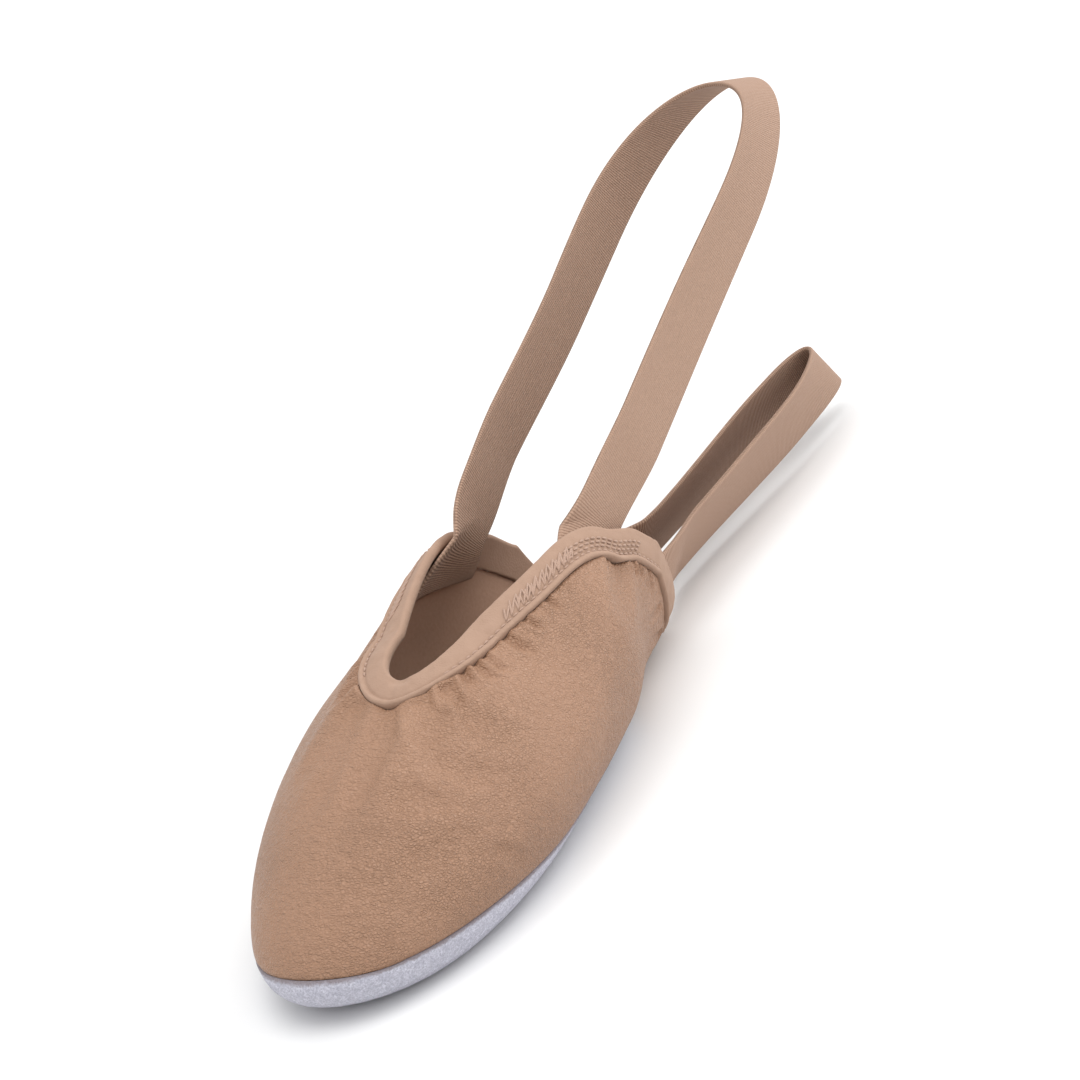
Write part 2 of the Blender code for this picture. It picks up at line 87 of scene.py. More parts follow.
def smooth_curve(rows, x, column=1, flat_start=False):
    """One column of a table read as a smooth curve that never overshoots: cubic pieces between the rows,
    whose slope at a row is the harmonic mean of the slopes beside it, or none at a turn."""
    knots = np.array([row[0] for row in rows], dtype=float)
    values = np.array([row[column] for row in rows], dtype=float)
    step = np.diff(knots)
    slope = np.diff(values) / step
    tangent = np.zeros(len(knots))
    same_way = slope[:-1] * slope[1:] > 0.0
    mean = 2.0 * slope[:-1] * slope[1:] / np.where(same_way, slope[:-1] + slope[1:], 1.0)
    tangent[1:-1] = np.where(same_way, mean, 0.0)
    tangent[0] = 0.0 if flat_start else slope[0]
    tangent[-1] = slope[-1]
    x = np.clip(x, knots[0], knots[-1])
    i = np.clip(np.searchsorted(knots, x, side="right") - 1, 0, len(step) - 1)
    u = (x - knots[i]) / step[i]
    start = values[i] * (2.0 * u**3 - 3.0 * u**2 + 1.0) + tangent[i] * step[i] * (u**3 - 2.0 * u**2 + u)
    end = values[i + 1] * (3.0 * u**2 - 2.0 * u**3) + tangent[i + 1] * step[i] * (u**3 - u**2)
    return start + end


def ease(x, start, end):
    """Smooth step: 0 before start, 1 after end, and 3u^2 - 2u^3 between them."""
    u = np.clip((x - start) / (end - start), 0.0, 1.0)
    return u * u * (3.0 - 2.0 * u)


def half_width(station):
    """Half width of the plan: a superellipse from the toe tip to the ball, then a smooth curve."""
    front = np.clip(1.0 - station / BALL_STATION, 0.0, 1.0)
    toe = (1.0 - front**PLAN_POWER) ** (1.0 / PLAN_POWER)
    rear = smooth_curve(PLAN_ROWS, (station - BALL_STATION) / (LAST_LENGTH - BALL_STATION), flat_start=True)
    return 0.5 * BALL_WIDTH * np.where(station < BALL_STATION, toe, rear)


toe_turn = np.linspace(0.0, 0.5 * math.pi, OUTLINE_STEPS)
outline_station = np.concatenate([
    BALL_STATION * (1.0 - np.cos(toe_turn) ** (2.0 / PLAN_POWER)),
    np.linspace(BALL_STATION, LAST_LENGTH, OUTLINE_STEPS)[1:],
])
outline_width = half_width(outline_station)
outline_run = np.cumsum(np.hypot(np.diff(outline_station), np.diff(outline_width)))
outline_share = np.concatenate([[0.0], outline_run]) / outline_run[-1]


def station_at(arc):
    """Distance behind the toe tip at an arc share of the plan's outline."""
    return np.interp(arc, outline_share, outline_station)


def arc_at(station):
    """Arc share of the plan's outline at a distance behind the toe tip."""
    return np.interp(station, outline_station, outline_share)


def rib(arc):
    """Sizes of the rib at an arc share: in front of the instep the ribs fan out round it, behind it they
    lie straight across, and their power grows from the toe to the side and on to the wings."""
    station = station_at(arc)
    width = half_width(station)
    foot = np.maximum(station, INSTEP_STATION)
    reach = np.hypot(width, station - foot)
    turn = np.arctan2(width, np.maximum(INSTEP_STATION - station, 0.0))
    power = TOE_POWER + (SIDE_POWER - TOE_POWER) * np.sin(turn)
    power = power + (REAR_POWER - SIDE_POWER) * ease(station, INSTEP_STATION, WING_STATION)
    widest = INSTEP_HEIGHT * smooth_curve(RIB_ROWS, station / LAST_LENGTH, 1)
    corner = INSTEP_HEIGHT * smooth_curve(RIB_ROWS, station / LAST_LENGTH, 2)
    ridge_rows = [
        (INSTEP_STATION, INSTEP_HEIGHT),
        (WING_STATION, WING_RIDGE_HEIGHT),
        (LAST_LENGTH, REAR_RIDGE_HEIGHT),
    ]
    return station, width, foot, reach, turn, power, widest, corner, smooth_curve(ridge_rows, foot)


def floor_lift(along):
    """Lift of the bottom off the floor: the square of the way to the toe's tip, and a squared sine for the
    low arch between the instep and the rear edge."""
    front = np.clip((SPRING_LENGTH - along) / SPRING_LENGTH, 0.0, 1.0)
    arch_length = LAST_LENGTH - REAR_FLAT_LENGTH - INSTEP_STATION
    over_arch = np.clip((along - INSTEP_STATION) / arch_length, 0.0, 1.0)
    return TOE_SPRING * front**2 + ARCH_RISE * np.sin(math.pi * over_arch) ** 2


def skin(arc, share):
    """Point of the last's skin. Up a rib it is a flat bottom, a quarter round up to the widest height, and
    a quarter superellipse up to the ridge; the bottom's lift fades out up the shoe."""
    side = np.where(arc < 0.0, -1.0, 1.0)
    station, width, foot, reach, _, power, widest, corner, ridge = rib(np.abs(arc))
    bend = np.clip((share - FLAT_END) / (WIDEST - FLAT_END), 0.0, 1.0) * 0.5 * math.pi
    climb = np.clip((share - WIDEST) / (1.0 - WIDEST), 0.0, 1.0) * 0.5 * math.pi
    on_corner = reach - corner + corner * np.sin(bend)
    on_top = reach * np.cos(climb) ** (2.0 / power)
    on_flat = (share / FLAT_END) * (reach - corner)
    out = np.where(share < FLAT_END, on_flat, np.where(share < WIDEST, on_corner, on_top))
    high = widest + (ridge - widest) * np.sin(climb) ** (2.0 / HEIGHT_POWER)
    height = np.where(share < WIDEST, widest * (1.0 - np.cos(bend)), high)
    across = side * out * width / np.maximum(reach, 1e-9)
    along = foot + out * (station - foot) / np.maximum(reach, 1e-9)
    height = height + floor_lift(along) * np.clip(1.0 - height / INSTEP_HEIGHT, 0.0, 1.0)
    return np.stack([across, along - BALL_STATION, height], axis=-1)


def skin_normal(arc, share):
    """Outward normal of the skin: the cross product of small steps along it and up it."""
    step = 0.002
    along = skin(arc + step, share) - skin(arc - step, share)
    up = skin(arc, np.minimum(share + step, 1.0)) - skin(arc, np.maximum(share - step, FLAT_END))
    normal = np.cross(along, up)
    normal = normal / np.maximum(np.linalg.norm(normal, axis=-1, keepdims=True), 1e-15)
    station = skin(arc, share)[..., 1] + BALL_STATION
    reach = step * LAST_LENGTH
    slope = (floor_lift(station + reach) - floor_lift(station - reach)) / (2.0 * reach)
    flat = np.stack([0.0 * slope, slope, -np.ones_like(slope)], axis=-1)
    flat = flat / np.linalg.norm(flat, axis=-1, keepdims=True)
    return np.where((share <= FLAT_END + step)[..., None], flat, normal)


def collar_share(arc):
    """Share up the rib where the opening's edge crosses it: an ellipse in front, a smooth curve behind."""
    station, _, _, reach, turn, power, _, _, _ = rib(arc)
    throat = 1.0 / np.sqrt((np.cos(turn) / THROAT_REACH) ** 2 + (np.sin(turn) / THROAT_HALF_WIDTH) ** 2)
    side_rows = [
        (INSTEP_STATION, THROAT_HALF_WIDTH),
        (0.5 * (INSTEP_STATION + WING_STATION), MIDDLE_HALF_WIDTH),
        (WING_STATION, WING_HALF_WIDTH),
    ]
    out = np.where(station < INSTEP_STATION, throat, smooth_curve(side_rows, station))
    climb = np.arccos(np.clip(out / reach, 0.0, 1.0) ** (0.5 * power))
    return WIDEST + (1.0 - WIDEST) * climb / (0.5 * math.pi)


wing_arc = arc_at(WING_STATION)
wing_share = float(collar_share(wing_arc))
sole_arc = arc_at(SOLE_END * LAST_LENGTH)


def rim_curve(turn):
    """Half of the opening's rim, a squircle of two edges: the collar from the throat's front to the wing,
    and the rear edge from the wing down to the bottom."""
    size = (np.sin(turn) ** RIM_POWER + np.cos(turn) ** RIM_POWER) ** (1.0 / RIM_POWER)
    along = np.sin(turn) / size
    up = np.cos(turn) / size
    share = up * collar_share(along * wing_arc)
    to_rear = smooth_curve(REAR_EDGE_ROWS, 1.0 - share / wing_share, flat_start=True)
    end = arc_at(WING_STATION + (LAST_LENGTH - WING_STATION) * to_rear)
    return along * end, share, 0.5 * (along + 1.0 - up)


def seam_curve(progress):
    """Half of the sole's seam, from the toe to the sole's rear end, where its plan closes in a round."""
    arc = sole_arc * (1.0 - (1.0 - progress) ** SEAM_SPACING_POWER)
    share_of_length = station_at(arc) / LAST_LENGTH
    height = smooth_curve(SEAM_ROWS, share_of_length)
    run = (share_of_length - SOLE_ROUNDING_START) / (SOLE_END - SOLE_ROUNDING_START)
    run = np.clip(run, 0.0, 1.0)
    rounding = (1.0 - run**SOLE_ROUNDING_POWER) ** (1.0 / SOLE_ROUNDING_POWER)
    _, _, _, reach, _, _, _, corner, _ = rib(arc)
    bend = np.clip((height - FLAT_END) / (WIDEST - FLAT_END), 0.0, 1.0) * 0.5 * math.pi
    out = (reach - corner + corner * np.sin(bend)) * rounding
    on_flat = FLAT_END * out / (reach - corner)
    bend = np.arcsin(np.clip((out - reach + corner) / corner, 0.0, 1.0))
    on_corner = FLAT_END + (WIDEST - FLAT_END) * bend / (0.5 * math.pi)
    return arc, np.where(run > 0.0, np.where(out < reach - corner, on_flat, on_corner), height)


# Turns of the rim that space the columns evenly along rim and seam together
fine_turn = 0.25 * math.pi * (1.0 - np.cos(np.linspace(0.0, math.pi, RIM_STEPS)))
fine_rim_arc, fine_rim_share, fine_progress = rim_curve(fine_turn)
fine_total = np.zeros(len(fine_turn))
for line in (skin(fine_rim_arc, fine_rim_share), skin(*seam_curve(fine_progress))):
    line_run = np.cumsum(np.linalg.norm(np.diff(line, axis=0), axis=1))
    fine_total[1:] += line_run / line_run[-1]
ring_turn = np.interp(np.linspace(0.0, fine_total[-1], RING_HALF + 1), fine_total, fine_turn)

# Lines across the skin from rim to seam, one a column, and the distance run along each
rim_arc, rim_share, rim_progress = rim_curve(ring_turn)
seam_arc, seam_share = seam_curve(rim_progress)
way = np.linspace(0.0, 1.0, LINE_STEPS)
line_arc = rim_arc[:, None] + (seam_arc - rim_arc)[:, None] * way
line_share = rim_share[:, None] + (seam_share - rim_share)[:, None] * way
line_steps = np.linalg.norm(np.diff(skin(line_arc, line_share), axis=1), axis=2)
line_run = np.concatenate([np.zeros((RING_HALF + 1, 1)), np.cumsum(line_steps, axis=1)], axis=1)


def down_the_lines(distance):
    """Arc and share at distances in from the rim: one long table, each column set apart from the last."""
    apart = np.arange(RING_HALF + 1)[:, None] * 1.0
    at = (np.clip(distance, 0.0, line_run[:, -1:]) + apart).ravel()
    table = (line_run + apart).ravel()
    arc = np.interp(at, table, line_arc.ravel()).reshape(distance.shape)
    share = np.interp(at, table, line_share.ravel()).reshape(distance.shape)
    return arc, share


def both_sides(points):
    """Half columns from toe to rear, joined with their mirror image into one ring of columns."""
    ring = np.concatenate([points, points[-2:0:-1] * np.array([-1.0, 1.0, 1.0])])
    ring[[0, len(points) - 1], :, 0] = 0.0
    return ring


def on_skin(arc, share):
    """Ring of points on the skin and ring of their outward normals."""
    return both_sides(skin(arc, share)), both_sides(skin_normal(arc, share))


def near_path(points, path):
    """Distance from every point to a path over the skin, and the share of the path's length run at the
    nearest place, taken over the straight steps between the path's points."""
    path = np.array(path)
    knots = skin(path[:, 0], path[:, 1])
    steps = np.diff(knots, axis=0)
    lengths = np.linalg.norm(steps, axis=1)
    before = np.concatenate([[0.0], np.cumsum(lengths)[:-1]])
    rel = points[..., None, :] - knots[:-1]
    along = np.clip((rel * steps).sum(-1) / lengths**2, 0.0, 1.0)
    distance = np.linalg.norm(rel - along[..., None] * steps, axis=-1)
    nearest = np.argmin(distance, axis=-1)[..., None]
    share = (before + along * lengths) / lengths.sum()
    return np.take_along_axis(distance, nearest, -1)[..., 0], np.take_along_axis(share, nearest, -1)[..., 0]


# Creases, listed one by one. Columns: depth, half width, share of its length at which it starts to fade,
# then the path as pairs of arc share round the outline and share up the rib
CREASES = [
    (0.00115, 0.0024, 0.5, [(0.025, 0.856), (0.029, 0.828), (0.025, 0.794), (0.014, 0.735)]),
    (0.00095, 0.0015, 0.4, [(0.154, 0.856), (0.186, 0.826), (0.209, 0.793), (0.209, 0.757)]),
    (0.00085, 0.0015, 0.4, [(0.219, 0.856), (0.249, 0.822), (0.255, 0.792), (0.249, 0.756)]),
    (0.00080, 0.0008, 0.3, [(0.286, 0.853), (0.295, 0.827), (0.309, 0.809)]),
    (0.00095, 0.0009, 0.4, [(0.318, 0.850), (0.328, 0.823), (0.340, 0.803), (0.358, 0.787)]),
    (0.00064, 0.0007, 0.3, [(0.402, 0.851), (0.396, 0.832), (0.409, 0.816)]),
    (0.00064, 0.0008, 0.3, [(0.460, 0.845), (0.463, 0.811), (0.486, 0.773)]),
    (0.00056, 0.0007, 0.3, [(0.501, 0.842), (0.503, 0.799), (0.530, 0.755)]),
    (0.00072, 0.0008, 0.4, [(0.591, 0.822), (0.586, 0.790), (0.590, 0.769), (0.596, 0.737)]),
    (0.00056, 0.0006, 0.4, [(0.629, 0.802), (0.629, 0.770), (0.639, 0.749)]),
    (0.00056, 0.0006, 0.3, [(0.675, 0.778), (0.673, 0.751), (0.670, 0.734)]),
    (0.00095, 0.0022, 0.3, [(0.836, 0.645), (0.822, 0.620), (0.785, 0.600), (0.730, 0.560)]),
    (0.00048, 0.0006, 0.2, [(0.812, 0.672), (0.800, 0.655), (0.790, 0.640)]),
    (0.00056, 0.0006, 0.2, [(0.866, 0.580), (0.862, 0.550), (0.850, 0.530)]),
    (0.00056, 0.0006, 0.2, [(0.880, 0.545), (0.876, 0.515), (0.862, 0.500)]),
    (0.00048, 0.0006, 0.2, [(0.904, 0.495), (0.896, 0.470), (0.880, 0.455)]),
    (0.00040, 0.0007, 0.3, [(0.915, 0.425), (0.885, 0.432), (0.855, 0.440)]),
    (0.00040, 0.0008, 0.3, [(0.935, 0.360), (0.890, 0.385), (0.850, 0.400)]),
    (0.00105, 0.0026, 0.4, [(-0.126, 0.853), (-0.085, 0.823), (-0.075, 0.792), (-0.085, 0.730)]),
    (0.00085, 0.0024, 0.4, [(-0.207, 0.840), (-0.178, 0.796), (-0.156, 0.744)]),
    (0.00042, 0.0022, 0.5, [(0.354, 0.774), (0.399, 0.715), (0.463, 0.641)]),
    (0.00042, 0.0020, 0.5, [(0.244, 0.754), (0.306, 0.708), (0.375, 0.664)]),
    (0.00034, 0.0018, 0.5, [(0.173, 0.672), (0.240, 0.652), (0.296, 0.628)]),
    (0.00034, 0.0018, 0.5, [(0.165, 0.652), (0.234, 0.629), (0.306, 0.595)]),
    (0.00032, 0.0012, 0.5, [(0.319, 0.551), (0.349, 0.450)]),
    (0.00038, 0.0022, 0.5, [(0.139, 0.747), (0.233, 0.711), (0.316, 0.675)]),
    (0.00072, 0.0011, 0.3, [(-0.318, 0.850), (-0.325, 0.823), (-0.350, 0.795)]),
    (0.00072, 0.0009, 0.3, [(-0.402, 0.851), (-0.405, 0.825), (-0.425, 0.800)]),
    (0.00064, 0.0008, 0.3, [(-0.480, 0.845), (-0.485, 0.805), (-0.500, 0.770)]),
    (0.00064, 0.0008, 0.3, [(-0.545, 0.836), (-0.545, 0.795), (-0.560, 0.750)]),
    (0.00056, 0.0007, 0.3, [(-0.610, 0.812), (-0.608, 0.775), (-0.615, 0.745)]),
    (0.00095, 0.0022, 0.3, [(-0.836, 0.645), (-0.822, 0.620), (-0.785, 0.600), (-0.730, 0.560)]),
    (0.00056, 0.0006, 0.2, [(-0.868, 0.575), (-0.862, 0.545), (-0.850, 0.520)]),
    (0.00056, 0.0006, 0.2, [(-0.885, 0.535), (-0.878, 0.505), (-0.862, 0.485)]),
    (0.00048, 0.0006, 0.2, [(-0.906, 0.490), (-0.896, 0.465), (-0.880, 0.450)]),
]


# Every crease is drawn this much deeper and wider than its row says
CREASE_DEEPENING, CREASE_WIDENING = 1.3, 1.25
# The lip on both sides of a trough, in shares of its depth and its half width: height, place and the
# square of the spread
LIP_HEIGHT, LIP_PLACE, LIP_SPREAD = 0.45, 1.9, 0.7
GOLDEN_ANGLE = 2.39996
# Columns: height, seed turn, length of one wave
LEATHER_WAVES = [(0.00007, 0.4, 0.021), (0.00003, 1.9, 0.0085)]


def waves(points, seed_turn, length, count=7):
    """Soft even unrest between -1 and 1: a mean of sines of one length, each turned by the golden angle."""
    k = np.arange(count)
    angle = seed_turn + GOLDEN_ANGLE * k
    tilt = np.sin(1.7 * k + seed_turn)
    way = np.stack([np.cos(angle), np.sin(angle), 0.7 * tilt], axis=-1)
    phase = 5.13 * k + 3.0 * seed_turn
    size = 2.0 * math.pi / (length * (0.8 + 0.4 * ((0.618 * k) % 1.0)))
    return np.sin((points @ way.T) * size + phase).mean(-1) * 1.6


def unrest(points, rows):
    """Sum of soft waves over a surface, each with its own height, seed turn and length."""
    return sum(height * waves(points, seed_turn, length) for height, seed_turn, length in rows)


def leather_relief(points):
    """Height of the leather over the last: it waves softly all over, and each crease is a trough with a
    bell-shaped section between two low lips, which fades along its path."""
    height = unrest(points, LEATHER_WAVES)
    for depth, width, fade_start, path in CREASES:
        distance, share = near_path(points, path)
        fade = 1.0 - ease(share, fade_start, 1.0)
        across = distance / (CREASE_WIDENING * width)
        lips = LIP_HEIGHT * np.exp(-((across - LIP_PLACE) ** 2) / LIP_SPREAD)
        trough = np.exp(-(across**2)) - lips
        height = height - CREASE_DEEPENING * depth * fade * trough
    return height


def closed(mesh, weld=0.0):
    """The mesh with near points welded where asked, its faces turned outwards and shaded smooth."""
    build = bmesh.new()
    build.from_mesh(mesh)
    if weld:
        bmesh.ops.remove_doubles(build, verts=build.verts, dist=weld)
    bmesh.ops.recalc_face_normals(build, faces=build.faces)
    build.to_mesh(mesh)
    build.free()
    mesh.shade_smooth()
    return mesh


def quads(i, j, next_i, next_j):
    """Four-sided faces of a grid from the places of its columns and rows and of their neighbours."""
    return np.stack(np.broadcast_arrays(i + j, next_i + j, next_i + next_j, i + next_j), axis=-1)


def ring_mesh(name, grid, close_rows=False, weld=0.0, uv=None, open_after=None):
    """Mesh over a grid of rings (columns round the shoe, rows across): quads between neighbouring columns
    and rows, the last column joined to the first, and the rows joined too where the profile is closed. One
    strip of faces, after the row that is named, can be left out. A map, where one is given, holds the
    share of the way round and the row's own number."""
    columns, rows = grid.shape[:2]
    i = np.arange(columns)[:, None]
    j = np.arange(rows if close_rows else rows - 1)[None, :]
    if open_after is not None:
        j = np.delete(j, open_after, axis=1)
    faces = quads(i * rows, j, (i + 1) % columns * rows, (j + 1) % rows).reshape(-1, 4)
    mesh = bpy.data.meshes.new(name)
    mesh.from_pydata(grid.reshape(-1, 3), [], faces)
    if uv is not None:
        layer = mesh.uv_layers.new(name="along")
        across = np.broadcast_to(uv[None, :], (columns, rows))
        around = np.broadcast_to(np.arange(columns)[:, None], (columns, rows)) / columns
        both = np.stack([around, across], axis=-1).reshape(-1, 2)
        layer.uv.foreach_set("vector", both[faces.ravel()].ravel())
    return closed(mesh, weld)


def place(name, mesh, node=None):
    """Object of a mesh at the origin, which rides on the shoe and, where one is named, replaces a node."""
    piece = bpy.data.objects.new(name, mesh)
    bpy.context.scene.collection.objects.link(piece)
    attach(piece, "root")
    if node:
        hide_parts(node)


class Finish:
    """A material's nodes, added one at a time and joined to the shader by socket name."""

    def __init__(self, name, roughness, sheen=0.0, sheen_roughness=0.5, specular=0.5):
        self.material = bpy.data.materials.new(name)
        self.material.use_nodes = True
        self.tree = self.material.node_tree
        self.shader = self.tree.nodes["Principled BSDF"]
        self.shader.inputs["Roughness"].default_value = roughness
        self.shader.inputs["Sheen Weight"].default_value = sheen
        self.shader.inputs["Sheen Roughness"].default_value = sheen_roughness
        self.shader.inputs["Specular IOR Level"].default_value = specular
        self.place = self.node("ShaderNodeTexCoord").outputs["Object"]

    def node(self, kind, **settings):
        """A new node with some of its settings changed."""
        new = self.tree.nodes.new(kind)
        for key, value in settings.items():
            setattr(new, key, value)
        return new

    def join(self, source, target):
        self.tree.links.new(source, target)

    def stretched(self, scale):
        """The piece's own coordinates, stretched by a scale along each axis."""
        mapping = self.node("ShaderNodeMapping")
        mapping.inputs["Scale"].default_value = scale
        self.join(self.place, mapping.inputs["Vector"])
        return mapping.outputs["Vector"]

    def map_sides(self, name):
        """The two sides of a UV map."""
        uv_map = self.node("ShaderNodeUVMap", uv_map=name)
        sides = self.node("ShaderNodeSeparateXYZ")
        self.join(uv_map.outputs["UV"], sides.inputs["Vector"])
        return sides.outputs["X"], sides.outputs["Y"]

    def noise(self, vector, scale, detail=2.0, roughness=0.5, distortion=0.0):
        new = self.node("ShaderNodeTexNoise")
        new.inputs["Scale"].default_value = scale
        new.inputs["Detail"].default_value = detail
        new.inputs["Roughness"].default_value = roughness
        new.inputs["Distortion"].default_value = distortion
        self.join(vector, new.inputs["Vector"])
        return new.outputs["Fac"]

    def cells(self, vector, scale, feature="DISTANCE_TO_EDGE"):
        new = self.node("ShaderNodeTexVoronoi", feature=feature)
        new.inputs["Scale"].default_value = scale
        self.join(vector, new.inputs["Vector"])
        return new.outputs["Distance"]

    def ramp(self, source, low, high, start=0.0, end=1.0):
        """A number carried from the range low to high over to the range start to end."""
        new = self.node("ShaderNodeMapRange")
        for key, value in (("From Min", low), ("From Max", high), ("To Min", start), ("To Max", end)):
            new.inputs[key].default_value = value
        self.join(source, new.inputs["Value"])
        return new.outputs["Result"]

    def sum(self, first, second, kind="ADD"):
        """Two numbers, each a socket or a value, added, or put together by another operation."""
        new = self.node("ShaderNodeMath", operation=kind)
        for socket, value in ((new.inputs[0], first), (new.inputs[1], second)):
            if isinstance(value, (int, float)):
                socket.default_value = value
            else:
                self.join(value, socket)
        return new.outputs["Value"]

    def mix(self, share, first, second):
        """Colour between two colours, or between a colour and another mix."""
        new = self.node("ShaderNodeMix", data_type="RGBA")
        self.join(share, new.inputs["Factor"])
        for socket, value in ((new.inputs["A"], first), (new.inputs["B"], second)):
            if isinstance(value, tuple):
                socket.default_value = (*value, 1.0)
            else:
                self.join(value, socket)
        return new.outputs["Result"]

    def bump(self, height, distance, strength=1.0):
        new = self.node("ShaderNodeBump")
        new.inputs["Strength"].default_value = strength
        new.inputs["Distance"].default_value = distance
        self.join(height, new.inputs["Height"])
        return new.outputs["Normal"]

    def finish(self, colour, normal=None, roughness=None):
        self.join(colour, self.shader.inputs["Base Color"])
        if normal is not None:
            self.join(normal, self.shader.inputs["Normal"])
        if roughness is not None:
            self.join(roughness, self.shader.inputs["Roughness"])
        return self.material


# Outer face from the binding down to the seam, its rows closer together near the binding, then round the
# lower edge and back up the inner face
OUTER_ROW_COUNT, OUTER_ROW_POWER, INNER_ROW_COUNT = 132, 1.25, 26
# Both edges are rounded over: each drops by this much, over this distance
TOP_DROP, TOP_ROUND = 0.00035, 0.0007
BOTTOM_DROP, BOTTOM_ROUND = 0.0003, 0.0006
# The folds die out over this distance above the sole, and between these heights above the floor
FOLD_END = 0.006
FOLD_LOW, FOLD_HIGH = 0.0005, 0.004
# No trough goes deeper than this, so that the wall under it stays whole
DEEPEST = 0.00095


def rounded(distance, drop, reach):
    """Drop of a rounded edge: all of it at the edge, none beyond the reach."""
    return drop * (1.0 - ease(distance, 0.0, reach))


outer_rows = np.linspace(0.0, 1.0, OUTER_ROW_COUNT) ** OUTER_ROW_POWER
inner_rows = np.linspace(1.0, 0.0, INNER_ROW_COUNT)
upper_top = BINDING_WIDTH + SEAM_GAP
upper_bottom = line_run[:, -1:] - SEAM_GAP
outer_arc, outer_share = down_the_lines(upper_top + (upper_bottom - upper_top) * outer_rows)
inner_arc, inner_share = down_the_lines(upper_top + (upper_bottom - upper_top) * inner_rows)
outer_points, outer_normals = on_skin(outer_arc, outer_share)
inner_points, inner_normals = on_skin(inner_arc, inner_share)
column_length = upper_bottom - upper_top
column_length = np.concatenate([column_length, column_length[-2:0:-1]])
from_top = column_length * outer_rows
from_bottom = column_length - from_top
edge_drop = rounded(from_top, TOP_DROP, TOP_ROUND) + rounded(from_bottom, BOTTOM_DROP, BOTTOM_ROUND)
relief = leather_relief(outer_points) * ease(from_bottom, 0.0, FOLD_END)
relief = np.where(relief < 0.0, DEEPEST * np.tanh(relief / DEEPEST), relief)
relief = relief * ease(outer_points[..., 2], FOLD_LOW, FOLD_HIGH)
outer_points = outer_points + outer_normals * (relief - edge_drop)[..., None]
inner_points = inner_points - inner_normals * UPPER_WALL
upper_grid = np.concatenate([outer_points, inner_points], axis=1)
upper_mesh = ring_mesh("leather_upper", upper_grid, close_rows=True)


def tan_leather():
    """Tan leather: pebbles from the edges of small cells, stronger in some patches, under fine
    crosswise wrinkles, with painted shade darkening the joints between the pebbles and less gloss in the
    wrinkles."""
    leather = Finish("tan_leather", 0.46, specular=0.36)
    wander = leather.noise(leather.place, scale=90.0)
    pebbles = leather.cells(leather.stretched((0.62, 0.95, 1.15)), scale=1700.0)
    fine_grain = leather.noise(leather.place, scale=3200.0)
    wrinkle_place = leather.stretched((0.45, 1.25, 1.1))
    wrinkles = leather.noise(wrinkle_place, scale=820.0, detail=2.5, roughness=0.55, distortion=0.5)
    patches = leather.ramp(leather.noise(leather.place, scale=38.0, detail=1.0), 0.38, 0.62, 0.60, 1.0)
    height = leather.sum(leather.ramp(pebbles, 0.0, 0.30), patches, "MULTIPLY")
    height = leather.sum(height, leather.sum(fine_grain, 0.12, "MULTIPLY"))
    height = leather.sum(height, leather.sum(wrinkles, 3.0, "MULTIPLY"))
    colour = leather.mix(wander, (0.342, 0.191, 0.118), (0.368, 0.210, 0.132))
    # Painted shade: the joints between the pebbles are darkened for the shade in the grain's crevices
    colour = leather.mix(leather.ramp(pebbles, 0.0, 0.12, 0.24, 0.0), colour, (0.225, 0.120, 0.073))
    gloss = leather.ramp(wrinkles, 0.3, 0.7, 0.50, 0.36)
    return leather.finish(colour, leather.bump(height, distance=0.00022), gloss)


def plain_cloth(name, roughness, weave_scale, dark, pale, bump_distance, bump_strength):
    """Matt woven cloth whose threads vary between two colours."""
    cloth = Finish(name, roughness, sheen=0.1, specular=0.2)
    weave = cloth.noise(cloth.place, weave_scale)
    return cloth.finish(cloth.mix(weave, dark, pale), cloth.bump(weave, bump_distance, bump_strength))


upper_mesh.materials.append(tan_leather())
upper_mesh.materials.append(plain_cloth(
    "brown_lining", roughness=0.9, weave_scale=1500.0, bump_distance=0.00008, bump_strength=0.5,
    dark=(0.440, 0.282, 0.200), pale=(0.530, 0.345, 0.252),
))
ring_rows = len(outer_rows) + len(inner_rows)
row_of_face = np.tile(np.arange(ring_rows), outer_points.shape[0])
lined = (row_of_face >= len(outer_rows)) & (row_of_face < ring_rows - 1)
upper_mesh.polygons.foreach_set("material_index", lined.astype(np.int32))
place("leather_upper", upper_mesh, "upper")


# Collar binding
# A soft knitted strip, paler and pinker than the leather, folded over the whole edge of the opening. Its
# outer edge is turned under into a narrow round bead, with the line of stitches just above it.
BINDING_WALL = 0.0018
BINDING_RISE = 0.00035
FOLD_RADIUS = 0.0009
STITCH_LINE = 0.0059
FACE_END, BEAD_START = 0.0052, 0.0053
FOLD_STEPS, FACE_STEPS, BEAD_STEPS, BACK_STEPS = 9, 12, 20, 14
# Near the floor the strip lies flush with the leather, and higher up it stands proud of it
FLUSH_HEIGHT, PROUD_HEIGHT = 0.0020, 0.0080
# Columns: height, seed turn, length of one wave
BINDING_WAVES = [(0.00007, 2.7, 0.0065), (0.00006, 0.9, 0.0031)]
# The dimple in front of the throat: its path over the skin, its depth and its half width
DIMPLE_PATH = [(-0.02, 0.892), (0.04, 0.892)]
DIMPLE_DEPTH, DIMPLE_WIDTH = 0.00045, 0.0011

